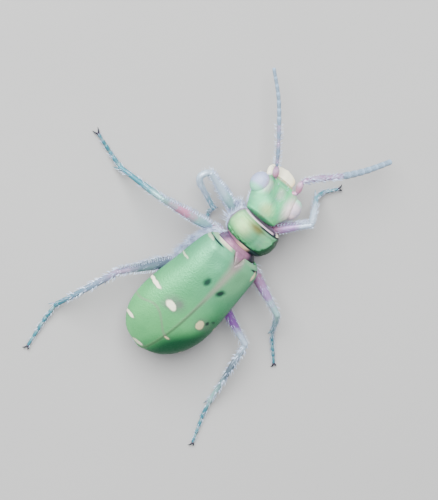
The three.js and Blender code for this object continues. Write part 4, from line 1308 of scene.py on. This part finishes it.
class Coat:
    """Hairs in the making: each is a thin three-sided spike that bends toward its lie."""

    def __init__(self, rng, sizes, matrix):
        self.rng = rng
        self.sizes = sizes
        self.matrix = matrix
        self.hairs = []

    def add(self, root, out, lie, length, uv, width, lift):
        rng = self.rng
        jitter = Vector((rng.uniform(-1, 1), rng.uniform(-1, 1), rng.uniform(-1, 1))) * 0.22 / max(width, 1.0)
        start = (out * lift + lie * (1 - lift) + jitter).normalized()
        bend = (lie - out * 0.25 + jitter).normalized()
        size = length * rng.uniform(0.7, 1.15)
        if root.z + start.z * size * 0.7 + bend.z * size * 0.5 < FLOOR_ROOM:
            return
        thickness = self.sizes.hair_width * width * rng.uniform(0.8, 1.2)
        self.hairs.append((*root, *start, *bend, size, thickness, *uv))

    def skin(self, surface, count, u_range, v_range, length, lie, width, lift):
        """Scatters hairs over a stretch of a surface; length and width are shares of a long hair's."""
        rng, turn = self.rng, self.matrix.to_3x3()
        step = 0.004
        for _ in range(int(count * self.sizes.hair_count)):
            u, v = rng.uniform(*u_range), rng.uniform(*v_range)
            point = Vector(surface(u, v))
            along = Vector(surface(u + step, v)) - point
            around = Vector(surface(u, v + step)) - point
            out = along.cross(around)
            if out.length < TINY:
                continue
            out.normalize()
            centre = Vector(surface(u, v + 0.5 if v < 0.5 else v - 0.5))
            if out.dot(point - centre) < 0:
                out = -out
            way = Vector(lie(point))
            way = (way - out * way.dot(out)).normalized()
            out, way = (turn @ out).normalized(), (turn @ way).normalized()
            self.add(self.matrix @ point, out, way, length * self.sizes.hair_length, (u, v), width, lift)

    def finish(self, name, slot, material):
        """Joins the hairs to one mesh, with a small patch of the OFBake map for each."""
        data = np.array(self.hairs)
        root, start, bend = data[:, 0:3], data[:, 3:6], data[:, 6:9]
        length, width, uv = data[:, 9:10], data[:, 10:11], data[:, 11:13]
        side = np.cross(start, bend + np.array(OFF_AXIS))
        side /= np.linalg.norm(side, axis=1, keepdims=True) + TINY
        other = np.cross(start, side)
        arc = 0.5 * (bend - start * 0.6)
        corners = []
        for share in HAIR_RINGS:
            middle = root + length * (share * start + share * share * arc)
            radius = width * (1.0 - share) ** 0.7 * 0.5
            for turn in (math.radians(120 * corner) for corner in range(3)):
                corners.append(middle + radius * (math.cos(turn) * side + math.sin(turn) * other))
        corners.append(root + length * (start + arc))
        points = np.stack(corners, axis=1)
        faces = [(0, 2, 1), (6, 7, 9), (7, 8, 9), (8, 6, 9)]
        for low in (0, 3):
            for a, b in ((0, 1), (1, 2), (2, 0)):
                faces += [(low + a, low + b, low + b + 3), (low + a, low + b + 3, low + a + 3)]
        first = np.arange(len(data)) * points.shape[1]
        triangles = (np.array(faces)[None] + first[:, None, None]).reshape(-1, 3)
        mesh = bpy.data.meshes.new(name)
        mesh.from_pydata(points.reshape(-1, 3), [], triangles)
        patch = np.array([(0.0, 0.0), (1.0, 0.0), (0.0, 1.0)] * 3 + [(0.5, 0.5)]) * BAKE_PATCH
        spread = (uv[:, None, :] * 0.99 + patch[None]).reshape(-1, 2)
        layer = mesh.uv_layers.new(name="OFBake")
        layer.data.foreach_set("uv", spread[triangles.reshape(-1)].astype(np.float32).ravel())
        settle(mesh, [material])


def leaning_out(x, y, z):
    """A lie of hairs that leans away from the body's middle on both sides."""
    return lambda point: (math.copysign(x, point[0]), y, z)


def leaning(way):
    """A lie of hairs that is the same all over a form."""
    return lambda point: way


REARWARD = leaning((0.0, 1.0, -0.25))
OUTWARD_DOWN = leaning_out(0.7, 0.6, -0.45)
SIDEWAYS = leaning_out(1.0, 0.35, 0.0)
FORWARD_OUT = leaning_out(0.6, -0.75, 0.05)
FORWARD_DOWN = leaning((0.0, -0.6, -0.5))
FORWARD = leaning((0.0, -1.0, 0.1))
ALL_ROUND = (0.0, 1.0)

# Coats of the body: piece, slot, surface and matrix, then for each stretch round the form its bands of
# (count, share of the length, hair length, lie, width, lift).
BODY_COATS = [
    ("thorax_hairs", "thorax", thorax_surface, BODY, [
        (((-0.13, -0.03), (0.53, 0.63)), [
            (1500, (0.14, 0.9), 1.0, OUTWARD_DOWN, 1.1, 0.75),
            (2600, (0.2, 0.66), 1.35, SIDEWAYS, 1.3, 0.5),
            (500, (0.1, 0.9), 0.5, REARWARD, 0.9, 0.5),
        ]),
        (((0.6, 0.9),), [(700, (0.1, 0.92), 0.4, REARWARD, 0.8, 0.4)]),
    ]),
    ("neck_shield_hairs", "pronotum", pronotum_surface, BODY, [
        (((-0.12, -0.04), (0.54, 0.62)), [(260, (0.12, 0.88), 0.35, REARWARD, 0.8, 0.4)]),
        (((0.6, 0.9),), [(500, (0.12, 0.9), 0.35, REARWARD, 0.8, 0.4)]),
    ]),
    ("abdomen_hairs", "abdomen", abdomen_surface, BODY, [
        (((-0.12, 0.02), (0.48, 0.62)), [(600, (0.06, 0.98), 0.45, REARWARD, 0.9, 0.45)]),
        ((ALL_ROUND,), [(260, (0.86, 0.99), 0.5, REARWARD, 0.9, 0.5)]),
    ]),
    ("head_hairs", "head", head_surface, HEAD, [
        (((-0.16, -0.04), (0.54, 0.66)), [(260, (0.12, 0.8), 0.4, FORWARD_DOWN, 0.8, 0.6)]),
        (((0.1, 0.4),), [(24, (0.12, 0.7), 0.22, FORWARD, 0.6, 0.7)]),
    ]),
]


class BEETLE_OT_body_hair(bpy.types.Operator):
    """Set the white hairs along the sides of the body, on the head and on the feelers"""

    bl_idname = "beetle.body_hair"
    bl_label = "Body Hair"

    def execute(self, context):
        sizes = context.scene.beetle_sizes
        white = hair_finish(context.scene.beetle_colours)
        rng = random.Random(context.scene.beetle_stage.seed)
        for name, slot, surface, matrix, stretches in BODY_COATS:
            coat = Coat(rng, sizes, matrix)
            form = surface()
            for v_ranges, bands in stretches:
                for v_range in v_ranges:
                    for count, u_range, length, lie, width, lift in bands:
                        coat.skin(form, count, u_range, v_range, length, lie, width, lift)
            coat.finish(name, slot, white)
        for side in SIDES:
            coat = Coat(rng, sizes, PART)
            course = antenna_path(side)
            for start, end, _, width in ANTENNA_PARTS["stem"]:
                points = sampled(course, start, end)
                along = leaning((Vector(points[-1]) - Vector(points[0])).normalized())
                stem = tube(points, [width] * 3)
                count = int(STEM_BRISTLES * (end - start))
                coat.skin(stem, count, (0.1, 0.9), ALL_ROUND, 0.36, along, 0.9, 0.9)
                if side == "right":
                    coat.skin(stem, count // 7, (0.1, 0.9), (0.1, 0.4), 0.42, along, 2.4, 1.0)
            coat.finish(f"feeler_bristles_{side}", "feeler_base", white)
        return {"FINISHED"}


class BEETLE_OT_leg_hair(bpy.types.Operator):
    """Set the white fringes of the thighs and the bristles of shins and feet"""

    bl_idname = "beetle.leg_hair"
    bl_label = "Leg Hair"

    def execute(self, context):
        sizes = context.scene.beetle_sizes
        white = hair_finish(context.scene.beetle_colours)
        rng = random.Random(context.scene.beetle_stage.seed + 1)
        for pose in LEG_POSES:
            joints = leg_joints(pose)
            coat = Coat(rng, sizes, PART)
            outward = leaning((joints["knee"] - joints["hip"]).normalized())
            along = leaning((joints["ankle"] - joints["shin"]).normalized())
            onward = leaning((joints["toe"] - joints["ankle"]).normalized())
            coxa = tube(straight(joints["root"], joints["hip"]), (0.34, 0.4, 0.3))
            coat.skin(coxa, 160, (0.15, 0.9), ALL_ROUND, 0.4, outward, 0.9, 0.5)
            if pose["pair"] == "front":
                coat.skin(coxa, 120, (0.3, 0.95), ALL_ROUND, 1.1, FORWARD_OUT, 3.0, 0.25)
            thigh = thigh_surface(joints)
            coat.skin(thigh, 240, (0.06, 0.95), (0.55, 0.95), 0.5, outward, 0.9, 0.6)
            coat.skin(thigh, 50, (0.06, 0.97), (0.05, 0.45), 0.25, outward, 0.7, 0.5)
            self.comb(coat, thigh, outward, pose)
            shin = shin_surface(pose, joints)
            coat.skin(shin, 90, (0.08, 0.98), ALL_ROUND, 0.4, along, 0.8, 0.5)
            if pose["pair"] == "hind":
                coat.skin(shin, 70, (0.05, 0.8), ALL_ROUND, 0.4, along, 2.0, 0.75)
            foot = tube(tarsus_path(joints), (0.1, 0.13, 0.13, 0.1))
            coat.skin(foot, 90, (0.05, 0.9), ALL_ROUND, 0.22, onward, 0.8, 0.4)
            coat.finish(f"{leg_label(pose)}_hairs", "thigh", white)
        return {"FINISHED"}

    def comb(self, coat, thigh, outward, pose):
        """Stout hairs at even places along the front of the thigh, and shorter ones along its back."""
        length, count = COMBS.get((pose["pair"], pose["side"]), (0.0, 0))
        front = COMB_TURN if pose["side"] == "left" else 0.5 - COMB_TURN
        for i in range(count):
            place = 0.1 + 0.86 * i / (count - 1)
            for turn, share, width in ((front, 1.0, 3.0), (0.5 - front, 0.4, 2.2)):
                places, turns = (place - 0.004, place + 0.004), (turn - 0.015, turn + 0.015)
                coat.skin(thigh, 2, places, turns, length * share, outward, width, 0.9)


class BEETLE_OT_stage(bpy.types.Operator):
    """Lay the plain pale floor, set the soft studio lights and place the camera"""

    bl_idname = "beetle.stage"
    bl_label = "Stage"

    def execute(self, context):
        stage = context.scene.beetle_stage
        bm = bmesh.new()
        bmesh.ops.create_grid(bm, x_segments=4, y_segments=4, size=stage.floor_size / 2)
        mesh = bpy.data.meshes.new("floor")
        bm.to_mesh(mesh)
        bm.free()
        floor = bpy.data.objects.new("floor", mesh)
        context.scene.collection.objects.link(floor)
        mesh.materials.append(floor_finish(stage.floor_colour))
        world = bpy.data.worlds.new("Pale room")
        world.use_nodes = True
        background = world.node_tree.nodes["Background"]
        background.inputs["Color"].default_value = ROOM_LIGHT
        background.inputs["Strength"].default_value = stage.sky
        context.scene.world = world
        self.light(context, "key", stage.key_power, KEY_PLACE)
        self.light(context, "fill", stage.fill_power, FILL_PLACE)
        toward, up = Vector(CAMERA_TOWARD), Vector(CAMERA_UP)
        right = up.cross(toward).normalized()
        turn = Matrix((right, toward.cross(right), toward)).transposed().to_4x4()
        lens = bpy.data.cameras.new("camera")
        lens.lens = CAMERA_LENS
        lens.clip_start = 0.001
        lens.clip_end = 10.0
        camera = bpy.data.objects.new("camera", lens)
        camera.matrix_world = Matrix.Translation(PART @ Vector(CAMERA_PLACE)) @ turn
        context.scene.collection.objects.link(camera)
        context.scene.camera = camera
        return {"FINISHED"}

    def light(self, context, name, power, place):
        lamp = bpy.data.lights.new(name, "AREA")
        lamp.shape = "DISK"
        lamp.size = LAMP_SIZE
        lamp.energy = power
        holder = bpy.data.objects.new(name, lamp)
        holder.location = place
        holder.rotation_euler = Vector(place).to_track_quat("Z", "Y").to_euler()
        context.scene.collection.objects.link(holder)


OPERATORS = [
    BEETLE_OT_wing_covers,
    BEETLE_OT_pronotum,
    BEETLE_OT_thorax,
    BEETLE_OT_abdomen,
    BEETLE_OT_head,
    BEETLE_OT_eyes,
    BEETLE_OT_mouth,
    BEETLE_OT_antennae,
    BEETLE_OT_legs,
    BEETLE_OT_body_hair,
    BEETLE_OT_leg_hair,
    BEETLE_OT_stage,
]
GROUPS = {"beetle_colours": BeetleColours, "beetle_sizes": BeetleSizes, "beetle_stage": BeetleStage}


class BEETLE_PT_panel(bpy.types.Panel):
    """Lists the beetle's sizes, colours and build steps"""

    bl_label = "Green Tiger Beetle"
    bl_idname = "BEETLE_PT_panel"
    bl_space_type = "VIEW_3D"
    bl_region_type = "UI"
    bl_category = "Beetle"

    def draw(self, context):
        for operator in OPERATORS:
            self.layout.operator(operator.bl_idname)
        for group in ("beetle_sizes", "beetle_stage", "beetle_colours"):
            box = self.layout.box()
            settings = getattr(context.scene, group)
            for key in settings.bl_rna.properties.keys():
                if key not in ("rna_type", "name"):
                    box.prop(settings, key)


def register():
    for cls in [*GROUPS.values(), *OPERATORS, BEETLE_PT_panel]:
        bpy.utils.register_class(cls)
    for key, group in GROUPS.items():
        setattr(bpy.types.Scene, key, PointerProperty(type=group))


def unregister():
    for key in GROUPS:
        delattr(bpy.types.Scene, key)
    for cls in reversed([*GROUPS.values(), *OPERATORS, BEETLE_PT_panel]):
        bpy.utils.unregister_class(cls)


def main():
    register()
    for operator in OPERATORS:
        family, name = operator.bl_idname.split(".")
        getattr(getattr(bpy.ops, family), name)()
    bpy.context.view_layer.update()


if __name__ == "__main__":
    main()
